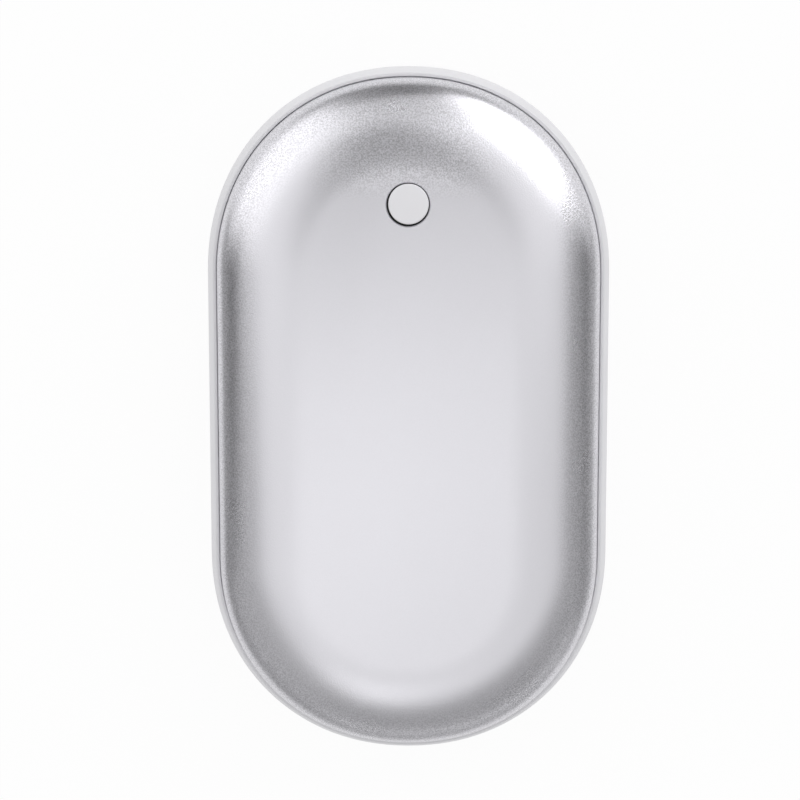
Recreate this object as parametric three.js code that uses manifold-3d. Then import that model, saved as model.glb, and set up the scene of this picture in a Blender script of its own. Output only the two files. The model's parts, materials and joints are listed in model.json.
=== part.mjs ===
// Rechargeable hand warmer: two drawn aluminium shells on a moulded middle band, with a push
// button in the front shell and two cells, heater films and a charging board inside.
// Millimetres. It lies on its back shell with the button up (+Z) and the button's end at +Y.
import * as THREE from 'three';
import { mergeVertices } from 'three/addons/utils/BufferGeometryUtils.js';
import Module from 'manifold-3d';

const wasm = await Module();
wasm.setup();

// Clearances and cuts
const seatGap = 0.3; // between assembled pieces
const bondGap = 0.2; // a glue line
const looseGap = 0.5; // round boards and sockets
const overrun = 3; // how far a cut runs past what it cuts
const weld = 0.5; // how deep a rib is rooted in the wall that carries it

// Cells and their tray
const cellDiameter = 18.4;
const cellLength = 65;
const cellSpacing = 0.4; // between the two cells
const capRadius = 3.2; // the plus contact
const capHeight = 1.2;
const crimpDepth = 0.6;
const crimpFromTop = 3.4;
const crimpWidth = 1.6;
const sleeveLip = 1.3; // the sleeve's turned edge round each end
const trayWall = 1.2;
const trayEndHeight = 6.9;
const sideBay = 9.5; // from the tray to the band, for screws, hooks and leads
const stripThickness = 0.2;
const stripHeight = 7;
const stripWidth = 25;

// Shells
const shellWall = 0.9;
const shoulderWidth = 15;
const shoulderPower = 2.2;
const skirtHeight = 1; // plumb part of the wall above its rim
const heaterThickness = 0.3;
const backPadThickness = 0.8;

// Boards
const boardThickness = 1.2;
const boardSeatDrop = 0.8; // the boards' underside below the middle
const boardBehindSocket = 6; // room for the chips and the leads' ends
const switchBoardWidth = 22;
const switchBoardLength = 14.6;
const switchBoardAhead = 3.2; // from the button's axis to the board's inner edge

// Button and switch
const buttonFromEnd = 21.4; // the button's axis to the button end of the band
const tipToButton = 4.2; // the cells' tips to the button's axis
const buttonRadius = 3.15;
const buttonHoleRadius = 3.38;
const buttonFloatX = 0.07; // the cap leans this far off the hole's centre, within its play
const buttonFloatY = 0.09;
const holeChamfer = 0.15;
const buttonProud = 0.2;
const buttonRound = 0.25;
const buttonTravel = 0.4;
const flangeRadius = 4.2;
const flangeThickness = 0.8;
const stemRadius = 1.7;
const switchWidth = 4.5;
const switchHeight = 3.5;
const switchFloor = 0.6;
const plungerRadius = 1.5;
const plungerProud = 3;

// Middle band
const bandHeight = 8.2;
const bandBulge = 1.1; // how far the lips stand in from the widest line
const bandLip = 0.4;
const rebateDepth = 0.8;
const endRound = 33; // length of a rounded end
const endPower = 2.1;

// Snap rings in the shells
const linerHeight = 1.6;
const hookThickness = 1;
const hookWidth = 5;
const hookReach = 1;
const hookBarb = 0.6;
const hookEnd = 0.7; // from the middle plane to a hook's tip
const ledgeWidth = 6;
const hookToLug = 2.5; // between a ledge and the tray's nearest lug

// Screws, their posts and the tray's lugs
const screwRadius = 1;
const screwHeadRadius = 1.8;
const screwHeadHeight = 1.3;
const screwSlot = 0.5;
const screwSlotLength = 2.2;
const screwSlotDepth = 0.7;
const screwTipGap = 0.4;
const screwFit = 0.15;
const postRadius = 2.5;
const shelfThickness = 1.4;
const lugWidth = 7;
const lugScrewInset = 2.4; // from the lug's inner edge to its screw
const flangeReach = 5;

// Sockets in the end away from the button
const socketWall = 1.2; // band left in front of a socket
const sheet = 0.3;
const outX = -5;
const outWidth = 13.1;
const outHeight = 5.2;
const outDepth = 10;
const outCorner = 0.6;
const outTongueSide = 0.7; // between the tongue and the shell's sides
const outTongueHeight = 1.6;
const outTongueSetback = 1;
const outTongueDrop = 0.3; // below the shell's roof
const outBlockDepth = 3.2;
const outLatchWidth = 2.2;
const outLatchLength = 4;
const outLatchX = 3;
const contactWidth = 1;
const contactThickness = 0.2;
const contactBow = 0.35; // how far a contact stands off the tongue
const contactFromSide = 1.55; // from the tongue's side to the outer contacts
const contactFromTip = 0.9;
const contactShares = [-1, -2 / 7, 2 / 7, 1]; // places, as shares of the outer contact's
const leafSlit = 0.3; // round each leaf spring in its window
const leafDip = 0.15; // how far a spring's tip is bent inwards
const socketSpacing = 2.7; // between the two sockets
const inWidth = 7.5;
const inHeight = 2.6;
const inDepth = 5;
const inTaper = 0.9; // the narrowed lower corners
const inTongueWidth = 3.7;
const inTongueHeight = 0.6;
const inTongueSetback = 0.7;
const inBlockDepth = 1.4;
const mouthTrim = 0.1; // the band's openings inside the sockets' own

// Charge level lights
const ledCount = 4;
const ledFromSide = 17.9; // the first light to the band's side
const ledPitch = 2;
const ledWidth = 1.6;
const ledDepth = 0.8;
const ledHeight = 0.8;
const pipeRadius = 0.5;
const pipeBarHeight = 1.2;
const pipeBarDepth = 1;
const pipeRecess = 0.2;

// Parts on the main board, placed from its inner edge and from each other
const partGap = 0.5;
const leadLane = 2.95; // between two chips, for the sensor's lead
const inductorSize = 6;
const inductorHeight = 3;
const inductorChamfer = 1;
const inductorFromEdge = 5.6;
const chipLength = 4.9;
const chipWidth = 3.9;
const chipHeight = 1.5;
const chipLift = 0.1;
const legWidth = 0.42;
const legPitch = 1.27;
const legReach = 0.8;
const legThickness = 0.25;
const legsPerSide = 4;
const boostShift = 2; // from the middle of the large socket
const controlSize = 4;
const controlHeight = 0.9;
const controlFromEdge = 3.1;
const dimpleRadius = 0.3;
const capacitorRadius = 2;
const capacitorHeight = 5.4;
const capacitorBase = 4.3;
const capacitorBaseHeight = 0.8;
const capacitorFromEdge = 5.2;
const ceramicLength = 3.2;
const ceramicWidth = 1.6;
const ceramicHeight = 1.4;
const mainScrewFromEdge = 3.2;
const switchScrewFromSide = 3;
const switchScrewFromFront = 2.2;

// Heaters, pads and the sensor
const heaterMargin = 0.5; // inside the flat of the shell
const heaterShort = 8.6; // from the button's axis to the front end of the heaters
const padFromSide = 14.5; // to the band's side
const padFromRear = 2.6; // from the cells' rear ends
const padCorner = 6;
const beadRadius = 0.9;

// Leads
const thickLead = 1.3;
const thinLead = 0.9;
const solderFromEdge = 1.1; // from the board's inner edge
const sideLeadFromTray = 1.5;
const leadPitch = 1.8;
const batteryLeadPitch = 2.16;

// How finely round shapes are faceted
const endSteps = 22;
const shoulderSteps = 9;
const innerSteps = 5;
const bandSteps = 6;
const roundSides = 20;
const smallSides = 8;
const cornerSteps = 3;
const cellSides = 24;
const buttonSides = 32;
const leadSides = 6;

// From the middle of the body outwards: cells, tray, the bay beside it and the band
const cellRadius = cellDiameter / 2;
const cellX = cellRadius + cellSpacing / 2;
const troughRadius = cellRadius + seatGap;
const trayRadius = troughRadius + trayWall;
const trayHalfWidth = cellX + trayRadius;
const shellInset = bandBulge + bandLip + seatGap; // inside the band's widest line
const linerOuter = shellInset + shellWall + bondGap;
const bandWall = linerOuter;
const linerInner = bandWall + seatGap + hookReach + hookThickness;
const halfWidth = trayHalfWidth + sideBay + bandWall;
const plateauInset = shellInset + shoulderWidth;

// Along the body, from the end with the sockets to the end with the button
const boardGap = looseGap;
const mainBoardLength = outDepth + boardBehindSocket;
const bodyLength = bandWall + boardGap + mainBoardLength + boardGap + trayWall + seatGap + cellLength
  + tipToButton + buttonFromEnd;
const halfLength = bodyLength / 2;
const boardEdgeY = -(halfLength - bandWall - boardGap - mainBoardLength); // main board's inner edge
const solderY = boardEdgeY - solderFromEdge;
const trayRearY = boardEdgeY + boardGap;
const cellRearY = trayRearY + trayWall + seatGap;
const cellTipY = cellRearY + cellLength;
const buttonY = halfLength - buttonFromEnd;
const lugY = ledgeWidth / 2 + hookToLug + lugWidth / 2;
const hookSpacing = 2 * lugY;

// Up through the body
const bodyHeight = 2 * (shellWall + heaterThickness + backPadThickness + seatGap + trayWall + seatGap)
  + cellDiameter;
const middle = bodyHeight / 2;
const rimZ = middle + bandHeight / 2 - rebateDepth; // the front shell's rim
const floorZ = 2 * middle - rimZ; // the back shell's rim
const innerFaceZ = bodyHeight - shellWall;
const boardSeatZ = middle - boardSeatDrop;
const boardTopZ = boardSeatZ + boardThickness;

// Places of screws, parts and pads
const lugInner = trayHalfWidth + 2 * seatGap;
const lugScrewX = lugInner + lugScrewInset;
const switchScrewX = switchBoardWidth / 2 - switchScrewFromSide;
const switchScrewAhead = switchBoardLength - switchBoardAhead - switchScrewFromFront;
const inX = outX + outWidth / 2 + socketSpacing + inWidth / 2;
const inductorX = outX + outWidth / 2 + partGap + inductorSize / 2;
const chargeX = inductorX + inductorSize / 2 + partGap + chipLength / 2;
const capacitorX = chargeX + chipLength / 2 + partGap + capacitorBase / 2;
const mainScrewX = capacitorX + capacitorBase / 2 + partGap + screwHeadRadius;
const boostX = outX - boostShift;
const controlX = boostX - chipLength / 2 - leadLane - controlSize / 2;
const ceramicX = (boostX + chipLength / 2 + inductorX - inductorSize / 2) / 2;
const ledFromEdge = controlFromEdge + controlSize / 2 + partGap + ledDepth / 2;
const beadX = boostX - chipLength / 2 - partGap - thinLead / 2;
const heaterInset = plateauInset + heaterMargin;
const heaterFrontY = buttonY - heaterShort;
const heaterBottomZ = innerFaceZ - heaterThickness;
const padRearY = cellRearY + padFromRear;
const sideLeadX = trayHalfWidth + sideLeadFromTray;

// The outline is a stadium whose ends are slightly squared: straight sides between two
// superellipse ends. A line that lies inset within the widest one keeps that distance all round.
function outline(inset) {
  const points = [];
  for (const end of [1, -1]) {
    for (let i = 0; i <= endSteps; i++) {
      const angle = (Math.PI * i) / endSteps;
      const across = Math.sign(Math.cos(angle)) * Math.abs(Math.cos(angle)) ** (2 / endPower);
      const along = Math.abs(Math.sin(angle)) ** (2 / endPower);
      const y = halfLength - endRound + (endRound - inset) * along;
      points.push(new THREE.Vector2(end * (halfWidth - inset) * across, end * y));
    }
  }
  return points;
}

// How far the outline reaches along Y at a distance x from the middle line
function reachAt(x, inset) {
  const across = (Math.abs(x) / (halfWidth - inset)) ** endPower;
  return halfLength - endRound + (endRound - inset) * (1 - across) ** (1 / endPower);
}

// A body lofted through outlines, each given as [inset, z]. Its ends are closed by flat faces,
// the first one looking down, or its last ring joins the first where the section is a loop.
function loft(rings, isLoop = false) {
  const places = [];
  const faces = [];
  const around = outline(0).length;
  for (const [inset, z] of rings) {
    outline(inset).forEach((point) => places.push(point.x, point.y, z));
  }
  const bands = isLoop ? rings.length : rings.length - 1;
  for (let ring = 0; ring < bands; ring++) {
    const low = ring * around;
    const high = ((ring + 1) % rings.length) * around;
    for (let i = 0; i < around; i++) {
      const next = (i + 1) % around;
      faces.push(low + i, low + next, high + next);
      faces.push(low + i, high + next, high + i);
    }
  }
  if (!isLoop) {
    const last = rings.length - 1;
    const centre = rings.length * around;
    places.push(0, 0, rings[0][1], 0, 0, rings[last][1]);
    for (let i = 0; i < around; i++) {
      const next = (i + 1) % around;
      faces.push(centre, next, i);
      faces.push(centre + 1, last * around + i, last * around + next);
    }
  }
  const geometry = new THREE.BufferGeometry();
  geometry.setAttribute('position', new THREE.Float32BufferAttribute(places, 3));
  geometry.setIndex(faces);
  return geometry;
}

// Geometry to solid and back
function solid(geometry) {
  const bare = geometry.clone();
  bare.deleteAttribute('normal');
  bare.deleteAttribute('uv');
  const merged = mergeVertices(bare);
  const vertProperties = new Float32Array(merged.attributes.position.array);
  const triVerts = new Uint32Array(merged.index.array);
  return new wasm.Manifold(new wasm.Mesh({ numProp: 3, vertProperties, triVerts }));
}

function fuse(base, ...others) {
  return others.reduce((sum, other) => sum.add(other), base);
}

function cut(base, ...tools) {
  return tools.reduce((rest, tool) => rest.subtract(tool), base);
}

function surface(body) {
  const { vertProperties, triVerts } = body.getMesh();
  const geometry = new THREE.BufferGeometry();
  geometry.setAttribute('position', new THREE.BufferAttribute(vertProperties, 3));
  geometry.setIndex(new THREE.BufferAttribute(triVerts, 1));
  return geometry;
}

// Simple solids, placed by their limits or their axis
function block(x0, x1, y0, y1, z0, z1) {
  const geometry = new THREE.BoxGeometry(x1 - x0, y1 - y0, z1 - z0);
  return solid(geometry.translate((x0 + x1) / 2, (y0 + y1) / 2, (z0 + z1) / 2));
}

function post(radius, x, y, z0, z1, sides = roundSides, topRadius = radius) {
  const geometry = new THREE.CylinderGeometry(topRadius, radius, z1 - z0, sides);
  return solid(geometry.rotateX(Math.PI / 2).translate(x, y, (z0 + z1) / 2));
}

// A profile turned about an upright axis: points are [radius, height]
function turned(points, sides) {
  const profile = points.map(([radius, height]) => new THREE.Vector2(radius, height));
  return new THREE.LatheGeometry(profile, sides).rotateX(Math.PI / 2);
}

// A shape drawn across the body (x, z) and drawn out along Y
function drawnOut(shape, y0, y1, curveSegments = cornerSteps) {
  const geometry = new THREE.ExtrudeGeometry(shape, { depth: y1 - y0, bevelEnabled: false, curveSegments });
  return geometry.rotateX(Math.PI / 2).translate(0, y1, 0);
}

// A shape drawn along the body (y, z) and drawn out along X
function drawnAcross(shape, x0, x1) {
  const turn = new THREE.Matrix4().makeBasis(new THREE.Vector3(0, 1, 0), new THREE.Vector3(0, 0, 1),
    new THREE.Vector3(1, 0, 0));
  const geometry = new THREE.ExtrudeGeometry(shape, { depth: x1 - x0, bevelEnabled: false });
  return geometry.applyMatrix4(turn).translate(x0, 0, 0);
}

// A shape drawn in plan (x, y) and raised in Z
function raised(shape, z0, z1, curveSegments = cornerSteps) {
  const geometry = new THREE.ExtrudeGeometry(shape, { depth: z1 - z0, bevelEnabled: false, curveSegments });
  return geometry.translate(0, 0, z0);
}

function roundedRectangle(centreX, centreY, width, height, corner) {
  const shape = new THREE.Shape();
  const right = width / 2 - corner;
  const top = height / 2 - corner;
  shape.absarc(centreX + right, centreY + top, corner, 0, Math.PI / 2);
  shape.absarc(centreX - right, centreY + top, corner, Math.PI / 2, Math.PI);
  shape.absarc(centreX - right, centreY - top, corner, Math.PI, 1.5 * Math.PI);
  shape.absarc(centreX + right, centreY - top, corner, 1.5 * Math.PI, 2 * Math.PI);
  return shape;
}

// Finishes
function finish(color, roughness, metalness) {
  return new THREE.MeshStandardMaterial({ color, roughness, metalness, flatShading: true });
}

const blastedAluminium = finish(0xc8c9cd, 0.42, 1);
const palePlastic = finish(0xdddde1, 0.45, 0);
const linerPlastic = finish(0x3a3b3e, 0.6, 0);
const trayPlastic = finish(0x2c2d30, 0.65, 0);
const switchPlastic = finish(0x1f2022, 0.5, 0);
const tinPlate = finish(0xb9babc, 0.3, 1);
const socketPlastic = finish(0xe8e8e4, 0.5, 0);
const greenBoard = finish(0x1d5a3a, 0.4, 0);
const blackEpoxy = finish(0x18191b, 0.55, 0);
const ferrite = finish(0x3c3d40, 0.7, 0);
const ceramic = finish(0xa98a63, 0.5, 0);
const clearPlastic = finish(0xeef1f2, 0.15, 0);
const ledYellow = finish(0xe7dfa8, 0.3, 0);
const sleeveBlue = finish(0x2f6f9f, 0.35, 0);
const nickel = finish(0xc4c2ba, 0.3, 1);
const gold = finish(0xd8b063, 0.3, 1);
const amberFilm = finish(0xb06a24, 0.35, 0);
const greyFoam = finish(0x55575a, 0.95, 0);
const steel = finish(0xaaacae, 0.35, 1);
const redLead = finish(0xb3261e, 0.5, 0);
const blackLead = finish(0x202124, 0.5, 0);
const whiteLead = finish(0xe4e4e0, 0.5, 0);

const warmer = new THREE.Group();

function place(name, body, material) {
  const geometry = body.isBufferGeometry ? body : surface(body);
  const mesh = new THREE.Mesh(geometry, material);
  mesh.name = name;
  warmer.add(mesh);
  return mesh;
}

// The same piece on the back of the body: turned over about the body's length
function placeOnBack(name, body, material) {
  const mesh = place(name, body, material);
  mesh.rotation.y = Math.PI;
  mesh.position.z = bodyHeight;
  return mesh;
}

// The shells' section from the rim up: a plumb skirt, then a shoulder that ends level in the
// flat face. The wall is the same all over, so the inner line is the outer one moved along
// its normal by the wall.
function shellSection(depth, steps) {
  const shoulderZ = rimZ + skirtHeight;
  const shoulderRise = bodyHeight - shoulderZ;
  const rings = [[shellInset + depth, rimZ]];
  for (let i = 0; i <= steps; i++) {
    const angle = (Math.PI / 2) * (i / steps);
    const across = Math.cos(angle) ** (2 / shoulderPower);
    const up = Math.sin(angle) ** (2 / shoulderPower);
    const normal = new THREE.Vector2(
      across ** (shoulderPower - 1) / shoulderWidth,
      up ** (shoulderPower - 1) / shoulderRise,
    ).normalize();
    const inset = shellInset + shoulderWidth * (1 - across) + depth * normal.x;
    rings.push([inset, shoulderZ + shoulderRise * up - depth * normal.y]);
  }
  return rings;
}

function shell() {
  return loft([...shellSection(shellWall, innerSteps).reverse(), ...shellSection(0, shoulderSteps)]);
}

function makeShells() {
  const holeX = -buttonFloatX;
  const holeY = buttonY - buttonFloatY;
  const hole = post(buttonHoleRadius, holeX, holeY, innerFaceZ - overrun, bodyHeight + overrun, buttonSides);
  const flare = holeChamfer + overrun;
  const chamfer = post(buttonHoleRadius, holeX, holeY, bodyHeight - holeChamfer, bodyHeight + overrun,
    buttonSides, buttonHoleRadius + flare);
  place('front_shell', cut(solid(shell()), hole, chamfer), blastedAluminium);
  placeOnBack('back_shell', shell(), blastedAluminium);
}

// The middle band: a ring with a bulging outside and a rebate on each side for a shell's rim
function bandRing() {
  const half = bandHeight / 2;
  const radius = (half ** 2 + bandBulge ** 2) / (2 * bandBulge);
  const sweep = Math.asin(half / radius);
  const rings = [];
  for (let i = 0; i <= bandSteps; i++) {
    const angle = sweep * (2 * (i / bandSteps) - 1);
    rings.push([radius * (1 - Math.cos(angle)), middle + radius * Math.sin(angle)]);
  }
  const lipInset = bandBulge + bandLip;
  rings.push([lipInset, middle + half]);
  rings.push([lipInset, rimZ]);
  rings.push([bandWall, rimZ]);
  rings.push([bandWall, floorZ]);
  rings.push([lipInset, floorZ]);
  rings.push([lipInset, middle - half]);
  return loft(rings, true);
}

// What stands on the band's inner wall is kept inside it by this filled outline
function withinBand() {
  return solid(loft([[bandWall - weld, floorZ - overrun], [bandWall - weld, rimZ + overrun]]));
}

// A ledge that a hook of the front ring snaps under, seen along Y, on the +X side
function ledgeShape() {
  const root = halfWidth - bandWall + weld;
  const tip = halfWidth - bandWall - hookReach;
  const low = middle + hookEnd + hookBarb + seatGap;
  const shape = new THREE.Shape();
  shape.moveTo(root, low);
  shape.lineTo(root, rimZ);
  shape.lineTo(tip, rimZ - hookReach / 2);
  shape.lineTo(tip, low);
  return shape;
}

function makeBand() {
  const turnOver = (geometry) => geometry.rotateY(Math.PI).translate(0, 0, bodyHeight);
  const facing = (geometry) => geometry.rotateZ(Math.PI);
  let band = solid(bandRing());
  for (const y of [-hookSpacing, 0, hookSpacing]) {
    const ledge = () => drawnOut(ledgeShape(), y - ledgeWidth / 2, y + ledgeWidth / 2);
    band = fuse(band, solid(ledge()), solid(facing(ledge())), solid(turnOver(ledge())),
      solid(facing(turnOver(ledge()))));
  }

  // Lugs for the tray, a shelf with posts for the switch board and two for the main board
  const inside = withinBand();
  for (const y of [-lugY, lugY]) {
    for (const side of [1, -1]) {
      const edges = [side * lugInner, side * halfWidth].sort((a, b) => a - b);
      const lug = block(...edges, y - lugWidth / 2, y + lugWidth / 2, floorZ, boardSeatZ);
      const bore = post(screwRadius + screwFit, side * lugScrewX, y, floorZ - overrun, boardSeatZ + overrun,
        smallSides);
      band = cut(band.add(lug.intersect(inside)), bore);
    }
  }
  const shelfTop = floorZ + shelfThickness;
  const switchShelf = block(-switchScrewX - postRadius, switchScrewX + postRadius,
    buttonY + switchScrewAhead - postRadius, halfLength, floorZ, shelfTop);
  band = band.add(switchShelf.intersect(inside));
  for (const side of [1, -1]) {
    const x = side * mainScrewX;
    const edges = [x - side * postRadius, side * halfWidth].sort((a, b) => a - b);
    const y = boardEdgeY - mainScrewFromEdge;
    const shelf = block(...edges, y - postRadius, y + postRadius, floorZ, shelfTop);
    band = band.add(shelf.intersect(inside));
  }
  for (const [x, y] of boardScrewPlaces()) {
    band = band.add(post(postRadius, x, y, floorZ, boardSeatZ));
    band = band.subtract(post(screwRadius + screwFit, x, y, floorZ - overrun, boardSeatZ + overrun,
      smallSides));
  }

  // Pockets that take the sockets from inside, their openings, and the lights' holes
  const outPocket = socketShape(outX, outWidth + 2 * seatGap, outHeight + 2 * seatGap, outCorner);
  const inPocket = inSocketShape(seatGap);
  const outMouth = socketShape(outX, outWidth - 2 * (sheet + mouthTrim), outHeight - 2 * sheet, outCorner);
  const inMouth = inSocketShape(-sheet - mouthTrim / 2);
  const inward = boardEdgeY;
  const outward = -halfLength - overrun;
  band = cut(band, solid(drawnOut(outPocket, outMouthY() - seatGap, inward)),
    solid(drawnOut(inPocket, inMouthY() - seatGap, inward)),
    solid(drawnOut(outMouth, outward, inward)), solid(drawnOut(inMouth, outward, inward)));
  for (let i = 0; i < ledCount; i++) {
    const hole = new THREE.CylinderGeometry(pipeRadius + seatGap / 2, pipeRadius + seatGap / 2,
      inward - outward, smallSides);
    band = band.subtract(solid(hole.translate(ledX(i), (inward + outward) / 2, ledZ())));
  }
  place('middle_frame', band, palePlastic);
}

// Snap ring bonded in a shell, with hooks that reach down behind the band's ledges
function liner() {
  const low = rimZ + seatGap;
  const high = low + linerHeight;
  const section = [[linerOuter, low], [linerOuter, high], [linerInner, high], [linerInner, low]];
  let ring = solid(loft(section, true));
  const back = halfWidth - linerInner;
  const face = back + hookThickness;
  const tipZ = middle + hookEnd;
  const shape = new THREE.Shape();
  shape.moveTo(back, high);
  shape.lineTo(back, tipZ);
  shape.lineTo(face, tipZ);
  shape.lineTo(face + hookReach, tipZ + hookBarb);
  shape.lineTo(face, tipZ + hookBarb);
  shape.lineTo(face, high);
  for (const y of [-hookSpacing, 0, hookSpacing]) {
    const hook = () => drawnOut(shape, y - hookWidth / 2, y + hookWidth / 2);
    ring = fuse(ring, solid(hook()), solid(hook().rotateZ(Math.PI)));
  }
  return ring;
}

// The front ring's arm ends in a collar that guides the button's stem
function makeLiners() {
  const collarTop = flangeBottomZ() - buttonTravel - seatGap;
  const armLow = boardTopZ + switchHeight + seatGap;
  const armHigh = armLow + linerHeight;
  const collarRadius = stemRadius + seatGap + trayWall;
  const armEnd = halfLength - linerInner;
  const footRear = armEnd - (linerInner - linerOuter);
  const root = rimZ + seatGap;
  const arm = block(-collarRadius, collarRadius, buttonY, armEnd, armLow, armHigh);
  const foot = block(-collarRadius, collarRadius, footRear, armEnd + weld, root, armHigh);
  const rib = block(-linerHeight / 2, linerHeight / 2, buttonY + stemRadius + seatGap, footRear,
    armHigh - weld, armHigh + linerHeight);
  const collar = post(collarRadius, 0, buttonY, armLow, collarTop);
  const bore = post(stemRadius + seatGap, 0, buttonY, armLow - overrun, collarTop + overrun);
  place('front_liner', cut(fuse(liner(), arm, foot, rib, collar), bore), linerPlastic);
  placeOnBack('back_liner', liner(), linerPlastic);
}

// Button: a cap in the shell's hole, a flange that keeps it in, and a stem down to the switch
function flangeBottomZ() {
  return innerFaceZ - seatGap - flangeThickness;
}

function plungerTopZ() {
  return boardTopZ + switchHeight + plungerProud;
}

function makeButton() {
  const top = bodyHeight + buttonProud;
  const flangeTop = innerFaceZ - seatGap;
  const cap = turned([
    [0, plungerTopZ()],
    [stemRadius, plungerTopZ()],
    [stemRadius, flangeBottomZ()],
    [flangeRadius, flangeBottomZ()],
    [flangeRadius, flangeTop],
    [buttonRadius, flangeTop],
    [buttonRadius, top - buttonRound],
    [buttonRadius - buttonRound / 3, top - buttonRound / 3],
    [buttonRadius - buttonRound, top],
    [0, top],
  ], buttonSides);
  place('button_cap', cap, palePlastic).position.y = buttonY;
}

// Push switch: a bored body and the plunger that the stem rests on
function makeSwitch() {
  const top = boardTopZ + switchHeight;
  const floor = boardTopZ + switchFloor;
  const half = switchWidth / 2;
  const body = block(-half, half, buttonY - half, buttonY + half, boardTopZ, top);
  const bore = post(plungerRadius + seatGap, 0, buttonY, floor, top + overrun);
  place('switch_body', cut(body, bore), switchPlastic);
  const low = floor + buttonTravel + seatGap;
  place('switch_plunger', post(plungerRadius, 0, buttonY, low, plungerTopZ()), socketPlastic);
}

// Screw with a pan head and a crossed slot, standing on the boards' upper face
function screw(x, y) {
  const shank = boardTopZ - floorZ - screwTipGap;
  const profile = turned([
    [0, -shank],
    [screwRadius, -shank],
    [screwRadius, 0],
    [screwHeadRadius, 0],
    [screwHeadRadius, screwHeadHeight / 2],
    [screwHeadRadius - screwHeadHeight / 3, screwHeadHeight],
    [0, screwHeadHeight],
  ], smallSides);
  const low = screwHeadHeight - screwSlotDepth;
  const high = screwHeadHeight + overrun;
  const long = screwSlotLength / 2;
  const narrow = screwSlot / 2;
  const body = cut(solid(profile), block(-long, long, -narrow, narrow, low, high),
    block(-narrow, narrow, -long, long, low, high));
  return surface(body).translate(x, y, boardTopZ);
}

function boardScrewPlaces() {
  const mainY = boardEdgeY - mainScrewFromEdge;
  const switchY = buttonY + switchScrewAhead;
  return [[-mainScrewX, mainY], [mainScrewX, mainY], [-switchScrewX, switchY], [switchScrewX, switchY]];
}

function screwHole(x, y) {
  return post(screwRadius + screwFit, x, y, boardSeatZ - overrun, boardTopZ + overrun, smallSides);
}

// Boards: the main one fills the end round the sockets, the small one carries the switch
function makeBoards() {
  const edge = bandWall + boardGap;
  const filled = solid(loft([[edge, boardSeatZ], [edge, boardTopZ]]));
  const mainPart = block(-halfWidth, halfWidth, -halfLength, boardEdgeY, boardSeatZ - overrun,
    boardTopZ + overrun);
  const notch = (x, width, backY) => block(x - width / 2 - seatGap, x + width / 2 + seatGap,
    -halfLength, backY + seatGap, boardSeatZ - overrun, boardTopZ + overrun);
  const places = boardScrewPlaces();
  const main = cut(filled.intersect(mainPart), notch(outX, outWidth, outMouthY() + outDepth),
    notch(inX, inWidth, inMouthY() + inDepth), screwHole(...places[0]), screwHole(...places[1]));
  place('main_board', main, greenBoard);

  const rear = buttonY - switchBoardAhead;
  const half = switchBoardWidth / 2;
  const small = cut(block(-half, half, rear, rear + switchBoardLength, boardSeatZ, boardTopZ),
    screwHole(...places[2]), screwHole(...places[3]));
  place('switch_board', small, greenBoard);

  const names = ['main_board_screw_1', 'main_board_screw_2', 'switch_board_screw_1', 'switch_board_screw_2'];
  names.forEach((name, i) => place(name, screw(...places[i]), steel));
}

// Sockets: their mouths stand behind the band where it curves in most
function outMouthY() {
  return socketWall - reachAt(Math.abs(outX) + outWidth / 2, 0);
}

function inMouthY() {
  return socketWall - reachAt(Math.abs(inX) + inWidth / 2, 0);
}

function socketShape(x, width, height, corner) {
  return roundedRectangle(x, middle, width, height, corner);
}

// The charging socket's outline narrows at its lower corners; grow widens it all round
function inSocketShape(grow) {
  const right = inWidth / 2 + grow;
  const top = middle + inHeight / 2 + grow;
  const low = middle - inHeight / 2 - grow;
  const shape = new THREE.Shape();
  shape.moveTo(inX - right, top);
  shape.lineTo(inX + right, top);
  shape.lineTo(inX + right, middle);
  shape.lineTo(inX + right - inTaper, low);
  shape.lineTo(inX - right + inTaper, low);
  shape.lineTo(inX - right, middle);
  return shape;
}

// A leaf spring that grips the plug: it stands in its window in the roof (up = 1) or in the
// floor (up = -1), rooted at its inner end, with its tip bent inwards
function leafSpring(x, start, up) {
  const length = outLatchLength - leafSlit + weld;
  const tilt = Math.asin(leafDip / length);
  const leaf = new THREE.BoxGeometry(outLatchWidth - 2 * leafSlit, length, sheet).rotateX(up * tilt);
  const z = middle + up * (outHeight / 2 - sheet / 2 - leafDip / 2);
  return solid(leaf.translate(x, start + leafSlit + length / 2, z));
}

// Contact springs of the output socket: each lies along the underside of the tongue from its
// root at the block, bows away to meet the plug and comes back near the tip
function makeContacts(tipY, rootY, tongueHalf, face) {
  const length = rootY - tipY;
  const bottom = face - contactThickness;
  const shape = new THREE.Shape();
  shape.moveTo(rootY, face);
  shape.lineTo(rootY - length / 3, face);
  shape.lineTo(tipY + length / 3, face - contactBow);
  shape.lineTo(tipY, face);
  shape.lineTo(tipY, bottom);
  shape.lineTo(tipY + length / 3, bottom - contactBow);
  shape.lineTo(rootY - length / 3, bottom);
  shape.lineTo(rootY, bottom);
  const outer = tongueHalf - contactFromSide - contactWidth / 2;
  contactShares.forEach((share, i) => {
    const x = outX + share * outer;
    place(`usb_out_contact_${i + 1}`, drawnAcross(shape, x - contactWidth / 2, x + contactWidth / 2), gold);
  });
}

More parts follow.
